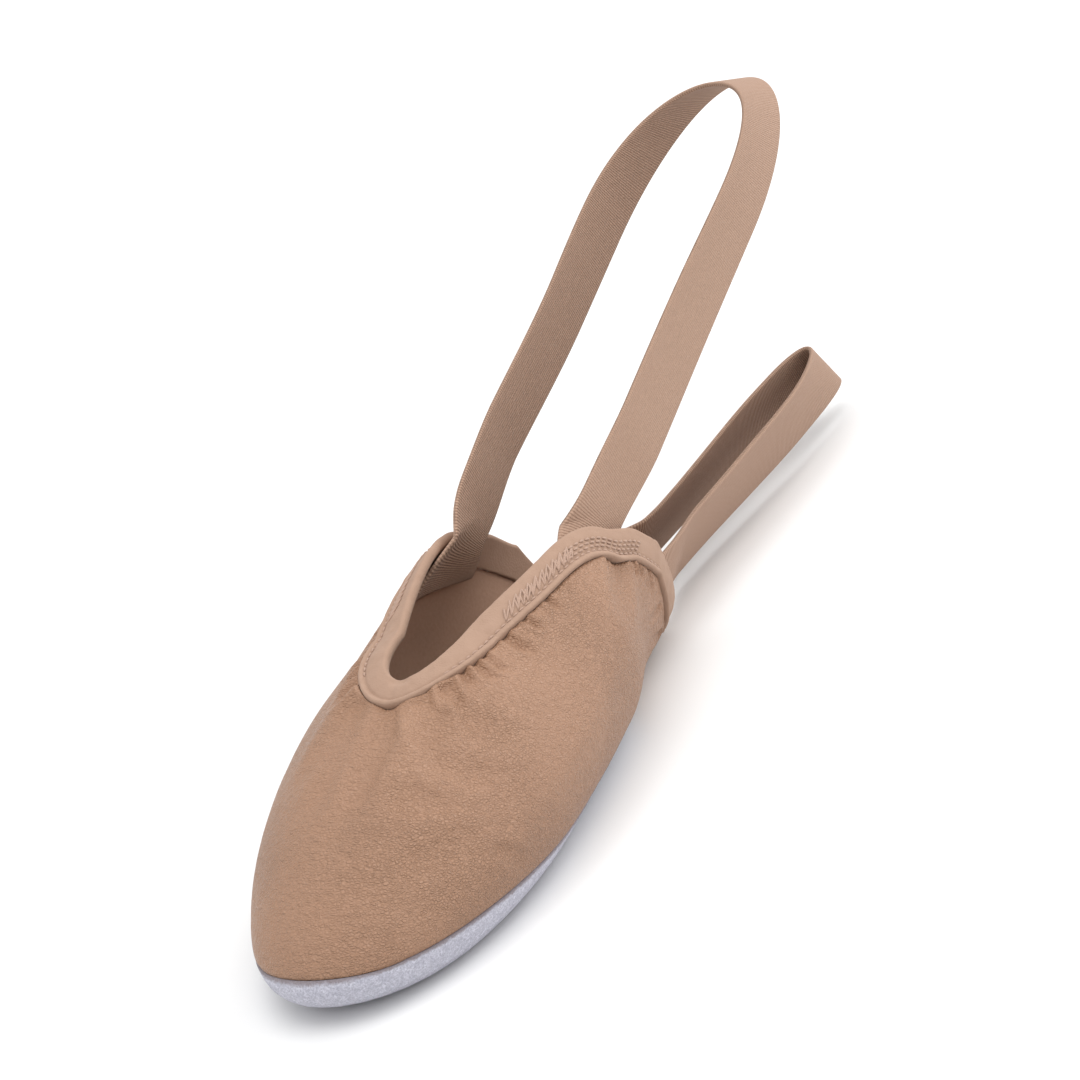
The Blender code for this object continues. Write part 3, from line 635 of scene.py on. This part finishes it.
# Outer face: columns are distance in from the rim, rise above the leather's skin
BINDING_ROWS = [
    (0.00000, 0.00000),
    (0.00090, 0.00035),
    (0.00300, 0.00042),
    (0.00520, 0.00030),
    (STITCH_LINE, 0.00012),
    (0.00635, 0.00060),
    (0.00690, 0.00082),
    (0.00735, 0.00062),
    (0.00750, 0.00000),
]
fold = np.linspace(0.0, 0.5 * math.pi, FOLD_STEPS)
face_distance = np.concatenate([
    np.linspace(FOLD_RADIUS, FACE_END, FACE_STEPS),
    np.linspace(BEAD_START, BINDING_WIDTH, BEAD_STEPS),
])
face_rise = smooth_curve(BINDING_ROWS, face_distance)
middle_depth = 0.5 * (BINDING_WALL - BINDING_RISE)
half_wall = 0.5 * (BINDING_WALL + BINDING_RISE)
fold_distance = FOLD_RADIUS * (1.0 - np.sin(fold))
back_distance = np.linspace(FOLD_RADIUS, BINDING_WIDTH, BACK_STEPS)
# The strip's section, once round: up the outer face, over the fold and down the inner face
section_distance = np.concatenate(
    [face_distance[::-1], fold_distance[1:-1], fold_distance[::-1][:-1], back_distance]
)
back_rise = np.full(len(back_distance), -BINDING_WALL)
outer_fold = half_wall * np.cos(fold) - middle_depth
inner_fold = -half_wall * np.cos(fold) - middle_depth
section_rise = np.concatenate([face_rise[::-1], outer_fold[1:-1], inner_fold[::-1][:-1], back_rise])
section_front = np.concatenate([
    np.ones(len(face_rise) + len(fold) - 2),
    np.zeros(len(fold) - 1 + len(back_rise)),
])
arc, share = down_the_lines(np.broadcast_to(section_distance, (RING_HALF + 1, len(section_distance))))
points, normals = on_skin(arc, share)
proud = ease(points[..., 2], FLUSH_HEIGHT, PROUD_HEIGHT)
rise = np.where(section_rise > 0.0, section_rise * proud, section_rise)
dimple_distance, _ = near_path(points, DIMPLE_PATH)
dimple = DIMPLE_DEPTH * np.exp(-((dimple_distance / DIMPLE_WIDTH) ** 2))
rise = rise + (unrest(points, BINDING_WAVES) - dimple) * section_front * proud
points = points + normals * rise[..., None]
binding_mesh = ring_mesh("collar_binding_strip", points, close_rows=True)


def binding_knit():
    """Fine knit: round loops over a soft unevenness that also carries the colour."""
    knit = Finish("binding_knit", 0.85, sheen=0.06, sheen_roughness=0.45, specular=0.2)
    loops = knit.cells(knit.place, scale=2300.0, feature="F1")
    uneven = knit.noise(knit.place, scale=420.0)
    height = knit.sum(loops, knit.sum(uneven, 1.4, "MULTIPLY"))
    colour = knit.mix(uneven, (0.332, 0.214, 0.153), (0.385, 0.254, 0.186))
    return knit.finish(colour, knit.bump(height, distance=0.00008, strength=0.6))


binding_mesh.materials.append(binding_knit())
place("collar_binding_strip", binding_mesh, "collar_binding")


# Stitches on the binding
# Tan thread. One line of lockstitch runs along the bead; each wing has a bar of zigzag stitches over the
# end of its elastic and three short rows of straight stitches round its top.
THREAD_RADIUS = 0.00024
THREAD_ARCH = 0.00008
# How far a thread's middle lies above the strip, in thread radii
STRAIGHT_LIFT, ZIGZAG_LIFT = 0.3, 0.4
# The hand's unrest in the zigzag is a sine: its size as a share of the pitch, and the angle by which it
# moves on from one crossing to the next and from one distance to another
ZIGZAG_UNREST, UNREST_TURN, UNREST_SHIFT = 0.16, 2.4, 900.0
# Straight rows: distance in from the rim, start and end along it, pitch, share of the pitch that is filled
LOCKSTITCH_ROW = (STITCH_LINE, 0.0125, 0.125, 0.0019, 0.78)
WING_ROWS = [(distance, 0.0500, 0.0770, 0.0018, 0.80) for distance in (0.0032, 0.0041, 0.0050)]
# Zigzag rows: near and far distance in from the rim, start and end along it, pitch
ZIGZAG_ROWS = [(0.0032, 0.0056, 0.0305, 0.0540, 0.0017), (0.0026, 0.0050, 0.0320, 0.0530, 0.0021)]
# How thick a thread is at seven places along it, as a share of its full radius
THREAD_SIZES = [0.15, 0.75, 1.0, 1.0, 1.0, 0.75, 0.15]
THREAD_SIDES = 6


def rim_ring(distance, side):
    """Points, outward normals and run lengths along a line at one distance in from the rim."""
    arc, share = down_the_lines(np.full((RING_HALF + 1, 1), distance))
    line = skin(arc, share)[:, 0]
    normal = skin_normal(arc, share)[:, 0]
    flip = np.array([side, 1.0, 1.0])
    run = np.concatenate([[0.0], np.cumsum(np.linalg.norm(np.diff(line, axis=0), axis=1))])
    return line * flip, normal * flip, run


def at_run(line, run, where):
    """Values along a line at given run lengths."""
    return np.stack([np.interp(where, run, line[:, k]) for k in range(3)], axis=-1)


def rise_at(distance):
    """Rise of the strip's outer face at a distance in from the rim."""
    return float(smooth_curve(BINDING_ROWS, np.array([distance]))[0])


def thread_mesh(name, starts, ends, start_normals, end_normals, arch):
    """Short threads as tubes: along each one a half sine lifts its middle by the arch over its two ends,
    and a ring is carried along it that shrinks to close the ends."""
    size = np.array(THREAD_SIZES)
    t = np.linspace(0.0, 1.0, len(size))
    angle = np.linspace(0.0, 2.0 * math.pi, THREAD_SIDES + 1)[:-1]
    core = starts[:, None] + (ends - starts)[:, None] * t[None, :, None]
    normal = start_normals[:, None] + (end_normals - start_normals)[:, None] * t[None, :, None]
    normal = normal / np.linalg.norm(normal, axis=-1, keepdims=True)
    core = core + normal * (arch * np.sin(math.pi * t))[None, :, None]
    along = ends - starts
    along = along / np.linalg.norm(along, axis=-1, keepdims=True)
    sideways = np.cross(along[:, None], normal)
    ring = (
        normal[:, :, None] * np.cos(angle)[None, None, :, None]
        + sideways[:, :, None] * np.sin(angle)[None, None, :, None]
    )
    points = core[:, :, None] + THREAD_RADIUS * size[None, :, None, None] * ring
    count, rings, sides = points.shape[:3]
    thread_start = np.arange(count)[:, None, None] * rings * sides
    ring_start = np.arange(rings - 1)[None, :, None] * sides
    corner = np.arange(sides)
    next_corner = (corner + 1) % sides
    walls = quads(thread_start + ring_start, corner, thread_start + ring_start + sides, next_corner)
    near_caps = thread_start[:, 0] + corner[::-1]
    far_caps = thread_start[:, 0] + (rings - 1) * sides + corner
    faces = walls.reshape(-1, 4).tolist() + near_caps.tolist() + far_caps.tolist()
    mesh = bpy.data.meshes.new(name)
    mesh.from_pydata(points.reshape(-1, 3), [], faces)
    return closed(mesh)


def straight_row(distance, start, end, pitch, fill, side):
    """Stitches along the rim: starts a pitch apart, each filling a share of the pitch."""
    line, normal, run = rim_ring(distance, side)
    where = np.arange(start, end, pitch)
    lift = rise_at(distance) + STRAIGHT_LIFT * THREAD_RADIUS
    first = at_run(line + normal * lift, run, where)
    last = at_run(line + normal * lift, run, where + fill * pitch)
    return first, last, at_run(normal, run, where), at_run(normal, run, where + fill * pitch)


def zigzag_row(near, far, start, end, pitch, side):
    """Stitches that cross between two distances from the rim and step half a pitch at each crossing, give
    or take a sine of the crossing's number, which is the hand's unrest."""
    where = np.arange(start, end, 0.5 * pitch)
    crossing = np.arange(len(where))
    away = crossing % 2 == 0
    where = where + ZIGZAG_UNREST * pitch * np.sin(UNREST_TURN * crossing + UNREST_SHIFT * near)
    near_line, near_normal, run = rim_ring(near, side)
    far_line, far_normal, far_run = rim_ring(far, side)
    lift = ZIGZAG_LIFT * THREAD_RADIUS
    near_line = near_line + near_normal * (rise_at(near) + lift)
    far_line = far_line + far_normal * (rise_at(far) + lift)
    low = at_run(near_line, run, where), at_run(near_normal, run, where)
    scale = far_run[-1] / run[-1]
    high = at_run(far_line, far_run, where * scale), at_run(far_normal, far_run, where * scale)
    place_at = np.where(away[:, None], low[0], high[0])
    normal_at = np.where(away[:, None], low[1], high[1])
    return place_at[:-1], place_at[1:], normal_at[:-1], normal_at[1:]


rows = []
for side in (1.0, -1.0):
    rows.append(straight_row(*LOCKSTITCH_ROW, side))
    rows += [zigzag_row(*row, side) for row in ZIGZAG_ROWS]
    rows += [straight_row(*row, side) for row in WING_ROWS]
stitches = [np.concatenate([row[k] for row in rows]) for k in range(4)]
# Where the strip turns under the shoe the stitches would reach below the floor, so they are left out
off_floor = np.minimum(stitches[0][:, 2], stitches[1][:, 2]) > FLUSH_HEIGHT
stitch_mesh = thread_mesh("binding_stitches", *(part[off_floor] for part in stitches), THREAD_ARCH)


def tan_thread():
    """Twisted thread whose plies differ in colour."""
    thread = Finish("tan_thread", 0.6, sheen=0.2, specular=0.35)
    ply = thread.noise(thread.place, scale=4200.0, detail=1.0)
    colour = thread.mix(ply, (0.30, 0.185, 0.130), (0.47, 0.315, 0.240))
    return thread.finish(colour, thread.bump(ply, distance=0.00006, strength=0.7))


stitch_mesh.materials.append(tan_thread())
place("binding_stitches", stitch_mesh)


# Outsole
# Thin split suede in pale blue grey, turned up round the toe and the forefoot, its nap rubbed short. Its
# edge along the leather is cut by hand and a little ragged; the dark line along it is painted seam shade.
SOLE_WALL = 0.0017
# The cut edge lies this far under the skin, so that it ends against the leather
EDGE_TUCK = 0.00022
FACE_ROW_COUNT, BACK_ROW_COUNT = 60, 20
NEXT_TO_EDGE = 0.985
WELD_DISTANCE = 0.00002
# Columns: height, seed turn, length of one wave
NAP_WAVES = [(0.00004, 3.3, 0.0042)]
NAP_LOW, NAP_HIGH = 0.0003, 0.002
# The second side of the sole's map: 0 at the middle and 1 at the edge, and this on the inner face
INNER_FACE = 2.0

sole_rows = np.concatenate([[1.0], np.linspace(NEXT_TO_EDGE, 0.0, FACE_ROW_COUNT)])
back_rows = np.linspace(0.0, 1.0, BACK_ROW_COUNT)
sole_shares = np.concatenate([sole_rows, back_rows])
arc = np.repeat(seam_arc[:, None], len(sole_shares), axis=1)
points, normals = on_skin(arc, seam_share[:, None] * sole_shares)
depth = np.concatenate([np.zeros(len(sole_rows)), np.full(len(back_rows), SOLE_WALL)])
depth[0] = EDGE_TUCK
nap = unrest(points, NAP_WAVES) * (depth == 0.0) * ease(points[..., 2], NAP_LOW, NAP_HIGH)
points = points + normals * (nap - depth)[..., None]
sole_mesh = ring_mesh(
    "suede_outsole", points, close_rows=True, weld=WELD_DISTANCE, open_after=len(sole_rows) - 1,
    uv=np.concatenate([sole_rows, np.full(len(back_rows), INNER_FACE)]),
)


def grey_suede():
    """Short nap: fine fibres over tufts, pale where they stand and darker where they are rubbed down. A
    ragged dark band of painted shade runs along the cut edge at the leather for the seam's shadow, and the
    inner face is brown."""
    suede = Finish("grey_suede", 0.96, sheen=0.12, sheen_roughness=0.6, specular=0.1)
    fibres = suede.noise(suede.place, scale=2600.0, detail=4.0, roughness=0.7)
    tufts = suede.noise(suede.place, scale=700.0, detail=3.0, roughness=0.6)
    _, to_edge = suede.map_sides("along")
    ragged_seam_shade = suede.sum(to_edge, suede.sum(tufts, 0.05, "MULTIPLY"))
    colour = suede.mix(suede.ramp(fibres, 0.39, 0.61), (0.38, 0.376, 0.435), (0.64, 0.635, 0.715))
    colour = suede.mix(suede.ramp(tufts, 0.35, 0.62, 0.50, 0.0), colour, (0.32, 0.315, 0.380))
    # Painted shade: a ragged dark band along the cut edge at the leather stands for the shadow in the seam
    colour = suede.mix(suede.ramp(ragged_seam_shade, 0.995, 1.015, 0.0, 0.75), colour, (0.16, 0.12, 0.12))
    colour = suede.mix(suede.ramp(to_edge, 1.3, 1.7), colour, (0.250, 0.165, 0.122))
    return suede.finish(colour, suede.bump(suede.sum(fibres, tufts), distance=0.00022, strength=0.9))


sole_mesh.materials.append(grey_suede())
place("suede_outsole", sole_mesh, "outsole")


# Insole
# A thin dark sock glued flat inside, seen only through the throat. Its solid keeps its shape.
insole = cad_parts["insole"]
insole.data.materials.clear()
insole.data.materials.append(plain_cloth(
    "sock_cloth", roughness=0.92, weave_scale=1800.0, bump_distance=0.0001, bump_strength=0.6,
    dark=(0.160, 0.108, 0.080), pale=(0.205, 0.140, 0.106),
))


# Elastics
# Two loops of flat ribbed elastic, 15 mm wide. Both ends of each are sewn inside the wings under the
# binding; the heel loop stands up and back, the lower one runs back a few mm above the floor, rolled over.
STRAP_WIDTH = 0.015
STRAP_WALL = 0.0010
STRAP_GAP = 0.0006
WALL_SLOPE_LIMIT = 4.0
STRAP_STEPS = 420
STRAP_ROW_COUNT = 33
RIB_PITCH = 0.00056
CORD_PITCH = 0.0011
# The rounded edge takes this share of the half width, and thins the band by this much at its very edge
EDGE_SHARE, EDGE_THINNING = 0.06, 0.93
# The second side of the band's map is set apart by this many band widths on the inner face
INNER_FACE_SHIFT = 100.0

# Columns: share of a strap's reach, half width as a share of the loop's own, turn of the band in degrees,
# then how far its lower edge stands out from the middle, and how far toward -X, as shares of its width
HEEL_STRAP_ROWS = [
    (0.00, 0.86, -10.0, 0.05, 0.00),
    (0.12, 0.87, -10.0, 0.03, 0.00),
    (0.28, 0.97, -10.0, 0.08, 0.00),
    (0.50, 0.98, -4.0, 0.05, 0.00),
    (0.71, 1.00, 8.0, 0.00, 0.00),
    (0.88, 1.00, 27.0, 0.00, 0.00),
    (1.00, 1.00, 46.0, 0.00, 0.00),
]
LOWER_STRAP_ROWS = [
    (0.00, 2.20, 4.0, -0.45, 0.00),
    (0.18, 1.14, 5.0, -0.15, 0.58),
    (0.34, 0.90, 6.0, 0.00, 0.61),
    (0.60, 0.94, 10.0, 0.00, 0.50),
    (0.80, 1.00, 18.0, 0.00, 0.35),
    (1.00, 1.00, 30.0, 0.00, 0.00),
]
# Shares of the way along the loop at which the far strand is fully raised, and starts and stops to sink
RISE_END, SINK_START, SINK_END = 0.09, 0.10, 0.55
# start, start_height: where the loop's middle begins, behind the toe tip and above the floor; slope, reach:
# its way back from there; half: half width of the open loop; lean: how far its far end leans to +X;
# bend_start, bend_power: where it closes, and how round; root_share, blend_share: where it leaves the wall,
# and over what way; cut_shift, cut_slant, cut_power: the slanted hidden ends; far_rise: what the far
# strand leaves its wing higher by; wall_end: the last station where the wall guides it
HEEL_STRAP = dict(
    rows=HEEL_STRAP_ROWS, wall_end=WING_STATION, start=0.110, start_height=0.0353,
    slope=math.radians(19.55), reach=0.1334, half=0.0168, lean=0.0040, lean_power=2.0,
    bend_start=0.71, bend_power=2.1, root_share=0.00, blend_share=0.14,
    cut_shift=-0.036, cut_slant=0.163, cut_power=15.0, far_rise=0.0034,
)
LOWER_STRAP = dict(
    rows=LOWER_STRAP_ROWS, wall_end=LAST_LENGTH, start=0.1285, start_height=0.0112,
    slope=math.radians(0.8), reach=0.101, half=0.0056, lean=0.0070, lean_power=0.84,
    bend_start=0.62, bend_power=2.1, root_share=0.13, blend_share=0.15,
    cut_shift=0.0, cut_slant=0.0, cut_power=1.0, far_rise=0.0,
)
across_line = 0.5 * np.sin(np.linspace(-0.5 * math.pi, 0.5 * math.pi, STRAP_ROW_COUNT))


def wall_outside(station, height):
    """Distance from the centre plane to the skin of the side wall behind the instep."""
    _, _, _, reach, _, power, widest, corner, ridge = rib(arc_at(station))
    above = np.clip((height - widest) / (ridge - widest), 0.0, 1.0)
    climb = np.arcsin(above ** (0.5 * HEIGHT_POWER))
    bend = np.arccos(np.clip(1.0 - height / widest, -1.0, 1.0))
    low = reach - corner + corner * np.sin(bend)
    return np.where(height > widest, reach * np.cos(climb) ** (2.0 / power), low)


def wall_inside(station, height, depth):
    """The same wall at a depth under its skin, measured square to the wall."""
    step = 0.0004
    across = wall_outside(station, height)
    up = (wall_outside(station, height + step) - wall_outside(station, height - step)) / (2.0 * step)
    back = (wall_outside(station + step, height) - wall_outside(station - step, height)) / (2.0 * step)
    return across - depth * np.sqrt(1.0 + np.minimum(up**2 + back**2, WALL_SLOPE_LIMIT))


def band_line(
    rows, wall_end, start, start_height, slope, reach, half, lean, lean_power, bend_start, bend_power,
    root_share, blend_share, cut_shift, cut_slant, cut_power, far_rise,
):
    """Middle surface of a looped band: along the loop the reach follows a sine, the half width closes in a
    superellipse bend, and across it the band is turned, stood out and rolled by its table. The hidden
    ends are cut on the slant: the start shifts across the band, by less and less along it."""
    share = np.sin(np.linspace(0.0, 0.5 * math.pi, STRAP_STEPS + 1))
    turn = np.radians(smooth_curve(rows, share, 2))
    into_bend = np.clip((share - bend_start) / (1.0 - bend_start), 0.0, 1.0)
    profile = smooth_curve(rows, share, 1) * (1.0 - into_bend**bend_power) ** (1.0 / bend_power)
    angle = (slope - 0.5 * math.pi + turn)[:, None]
    shift = (cut_shift + cut_slant * across_line) * (1.0 - share[:, None]) ** cut_power
    run = share[:, None] + shift
    free = ease(run, root_share, root_share + blend_share)
    stand_out = STRAP_WIDTH * smooth_curve(rows, share, 3)[:, None] * across_line
    depth = BINDING_WALL + STRAP_GAP + 0.5 * STRAP_WALL
    strands = []
    # The far strand, on the -X side, is raised square to the slope near its start, and then sinks again
    for rise in (0.0, far_rise):
        raised = rise * ease(share, 0.0, RISE_END) * (1.0 - ease(share, SINK_START, SINK_END))
        raised = raised[:, None]
        station = start + reach * run * math.cos(slope) + STRAP_WIDTH * across_line * np.cos(angle)
        station = station - raised * math.sin(slope)
        height = start_height + reach * run * math.sin(slope) + STRAP_WIDTH * across_line * np.sin(angle)
        height = height + raised * math.cos(slope)
        wing = arc_at(np.minimum(station, WING_STATION))
        edge = skin(wing, collar_share(wing))[..., 2]
        wall = wall_inside(np.minimum(station, wall_end), np.minimum(height, edge), depth)
        across = wall + (half * profile[:, None] + stand_out * (1.0 - share[:, None] ** 4) - wall) * free
        strands.append(np.stack([across, station - BALL_STATION, height], axis=-1))
    middle = np.concatenate([strands[0], strands[1][-2::-1] * np.array([-1.0, 1.0, 1.0])])
    both = np.concatenate([share, share[-2::-1]])
    roll = smooth_curve(rows, both, 4)[:, None] * STRAP_WIDTH * across_line
    freedom = ease(both, root_share, root_share + blend_share)[:, None]
    middle[..., 0] += freedom * (both**lean_power * lean)[:, None] - freedom * roll
    return middle


def band_mesh(name, middle):
    """Band with rounded edges: a flat oval section carried along the middle surface. Its map holds metres
    along the band and metres across it, with the inner face set apart."""
    normal = np.cross(np.gradient(middle, axis=0), np.gradient(middle, axis=1))
    normal = normal / np.linalg.norm(normal, axis=-1, keepdims=True)
    into_edge = np.clip((np.abs(across_line) * 2.0 - (1.0 - EDGE_SHARE)) / EDGE_SHARE, 0.0, 1.0)
    half = 0.5 * STRAP_WALL * np.sqrt(1.0 - EDGE_THINNING * into_edge**2)
    outer = middle + normal * half[None, :, None]
    inner = (middle - normal * half[None, :, None])[:, ::-1]
    loop = np.concatenate([outer, inner], axis=1)
    columns, rows = loop.shape[:2]
    i = np.arange(columns - 1)[:, None] * rows
    j = np.arange(rows)[None, :]
    faces = quads(i, j, i + rows, (j + 1) % rows).reshape(-1, 4)
    ends = [list(range(rows))[::-1], [(columns - 1) * rows + k for k in range(rows)]]
    mesh = bpy.data.meshes.new(name)
    mesh.from_pydata(loop.reshape(-1, 3), [], faces.tolist() + ends)
    centre = middle[:, len(across_line) // 2]
    run = np.concatenate([[0.0], np.cumsum(np.linalg.norm(np.diff(centre, axis=0), axis=1))])
    across = np.concatenate([across_line, across_line[::-1] + INNER_FACE_SHIFT]) * STRAP_WIDTH
    uv = np.stack(np.broadcast_arrays(run[:, None], across[None, :]), axis=-1).reshape(-1, 2)
    corners = np.concatenate([faces.ravel(), ends[0], ends[1]])
    mesh.uv_layers.new(name="band").uv.foreach_set("vector", uv[corners].ravel())
    return closed(mesh)


def ribbed_elastic():
    """Ribs across the band and fainter cords along it, as sines of its map, over fuzzy yarn. The outer face
    is
    dark between the ribs: partly the weave, partly painted shade in the grooves and painted highlight on
    the ribs. The inner face is plainer, and painted paler for the shade inside the loop."""
    elastic = Finish("ribbed_elastic", 0.80, sheen=0.08, sheen_roughness=0.4, specular=0.25)
    along, across = elastic.map_sides("band")
    rib_phase = elastic.sum(along, 2.0 * math.pi / RIB_PITCH, "MULTIPLY")
    rib_shift = elastic.sum(elastic.noise(elastic.place, scale=500.0, detail=1.0), 1.6, "MULTIPLY")
    ribs = elastic.ramp(elastic.sum(elastic.sum(rib_phase, rib_shift), 0.0, "SINE"), -1.0, 1.0)
    cord_phase = elastic.sum(across, 2.0 * math.pi / CORD_PITCH, "MULTIPLY")
    cords = elastic.ramp(elastic.sum(cord_phase, 0.0, "SINE"), -1.0, 1.0, 0.0, 0.35)
    yarn = elastic.noise(elastic.place, scale=2600.0)
    height = elastic.sum(elastic.sum(ribs, cords), yarn)
    # Partly the weave and partly painted light: pale ribs carry painted highlight, the dark between them
    # painted shade
    outer = elastic.mix(ribs, (0.245, 0.150, 0.103), (0.475, 0.308, 0.222))
    outer = elastic.mix(elastic.ramp(yarn, 0.3, 0.7, 0.0, 0.5), outer, (0.310, 0.191, 0.134))
    # Painted light: the inner face is plainer, and painted paler to make up for the shade inside the loop
    inner = elastic.mix(yarn, (0.345, 0.218, 0.154), (0.405, 0.262, 0.190))
    colour = elastic.mix(elastic.ramp(across, 0.5, 0.9), outer, inner)
    return elastic.finish(colour, elastic.bump(height, distance=0.00015, strength=0.9))


elastic_material = ribbed_elastic()
for name, strap, node in (
    ("heel_elastic", HEEL_STRAP, "heel_strap"),
    ("lower_elastic", LOWER_STRAP, "lower_strap"),
):
    strap_mesh = band_mesh(name, band_line(**strap))
    strap_mesh.materials.append(elastic_material)
    place(name, strap_mesh, node)


# Floor, light and camera
# A pale studio floor under large soft lights, and the camera at the photograph's angle, rolled with it.
FLOOR_REACH = 6.0
WORLD_STRENGTH = 0.88
# Columns: name, place, aim, side of the square, watts
LIGHTS = [
    ("key_light", (0.14, -0.02, 1.25), (0.0, 0.02, 0.02), 1.0, 8.0),
    ("fill_light", (-0.45, -0.70, 1.00), (0.0, 0.03, 0.02), 0.9, 1.5),
    ("rear_light", (0.45, 1.10, 0.70), (0.0, 0.05, 0.02), 0.9, 7.5),
    ("side_light", (1.00, 0.25, 0.32), (0.0, 0.05, 0.02), 0.5, 1.8),
]
# The camera looks along these angles past its aim, from this far off
CAMERA_AIM = Vector((0.0, -0.0014, 0.0225))
CAMERA_DISTANCE = 1.08
AZIMUTH, ELEVATION, ROLL = math.radians(39.7954), math.radians(27.5118), math.radians(21.6202)
SENSOR_WIDTH, LENS = 36.0, 181.1
SHIFT_RIGHT, SHIFT_UP = 0.1120, 0.2113

scene = bpy.context.scene
floor_corners = [(x * FLOOR_REACH, y * FLOOR_REACH, 0.0) for x, y in ((-1, -1), (1, -1), (1, 1), (-1, 1))]
floor_mesh = bpy.data.meshes.new("studio_floor")
floor_mesh.from_pydata(floor_corners, [], [(0, 1, 2, 3)])
floor = bpy.data.objects.new("studio_floor", floor_mesh)
scene.collection.objects.link(floor)


def floor_paper():
    """Matt, almost white paper."""
    paper = Finish("floor_paper", 0.95, specular=0.0)
    tone = paper.noise(paper.place, scale=2.0, detail=0.0)
    return paper.finish(paper.mix(tone, (0.78, 0.78, 0.78), (0.79, 0.79, 0.79)))


floor_mesh.materials.append(floor_paper())

world = bpy.data.worlds.new("studio")
scene.world = world
world.use_nodes = True
sky = world.node_tree.nodes["Background"]
sky.inputs["Color"].default_value = (1.0, 1.0, 1.0, 1.0)
sky.inputs["Strength"].default_value = WORLD_STRENGTH
scene.view_settings.view_transform = "Standard"

for name, stand, aim, size, power in LIGHTS:
    light = bpy.data.lights.new(name, "AREA")
    light.size = size
    light.energy = power
    lamp = bpy.data.objects.new(name, light)
    lamp.location = stand
    lamp.rotation_euler = (Vector(aim) - Vector(stand)).to_track_quat("-Z", "Y").to_euler()
    scene.collection.objects.link(lamp)

# The camera's own axes: back from the aim, then level to the right and square to both, turned by the roll
level = Vector((math.cos(AZIMUTH), math.sin(AZIMUTH), 0.0))
back = Vector((
    math.sin(AZIMUTH) * math.cos(ELEVATION),
    -math.cos(AZIMUTH) * math.cos(ELEVATION),
    math.sin(ELEVATION),
))
high = back.cross(level)
right = level * math.cos(ROLL) - high * math.sin(ROLL)
up = level * math.sin(ROLL) + high * math.cos(ROLL)
camera_data = bpy.data.cameras.new("photo_camera")
camera_data.sensor_width = SENSOR_WIDTH
camera_data.lens = LENS
camera_data.shift_x = SHIFT_RIGHT
camera_data.shift_y = SHIFT_UP
camera = bpy.data.objects.new("photo_camera", camera_data)
camera_turn = Matrix((right, up, back)).transposed().to_4x4()
camera.matrix_world = Matrix.Translation(CAMERA_AIM + CAMERA_DISTANCE * back) @ camera_turn
scene.collection.objects.link(camera)
scene.camera = camera
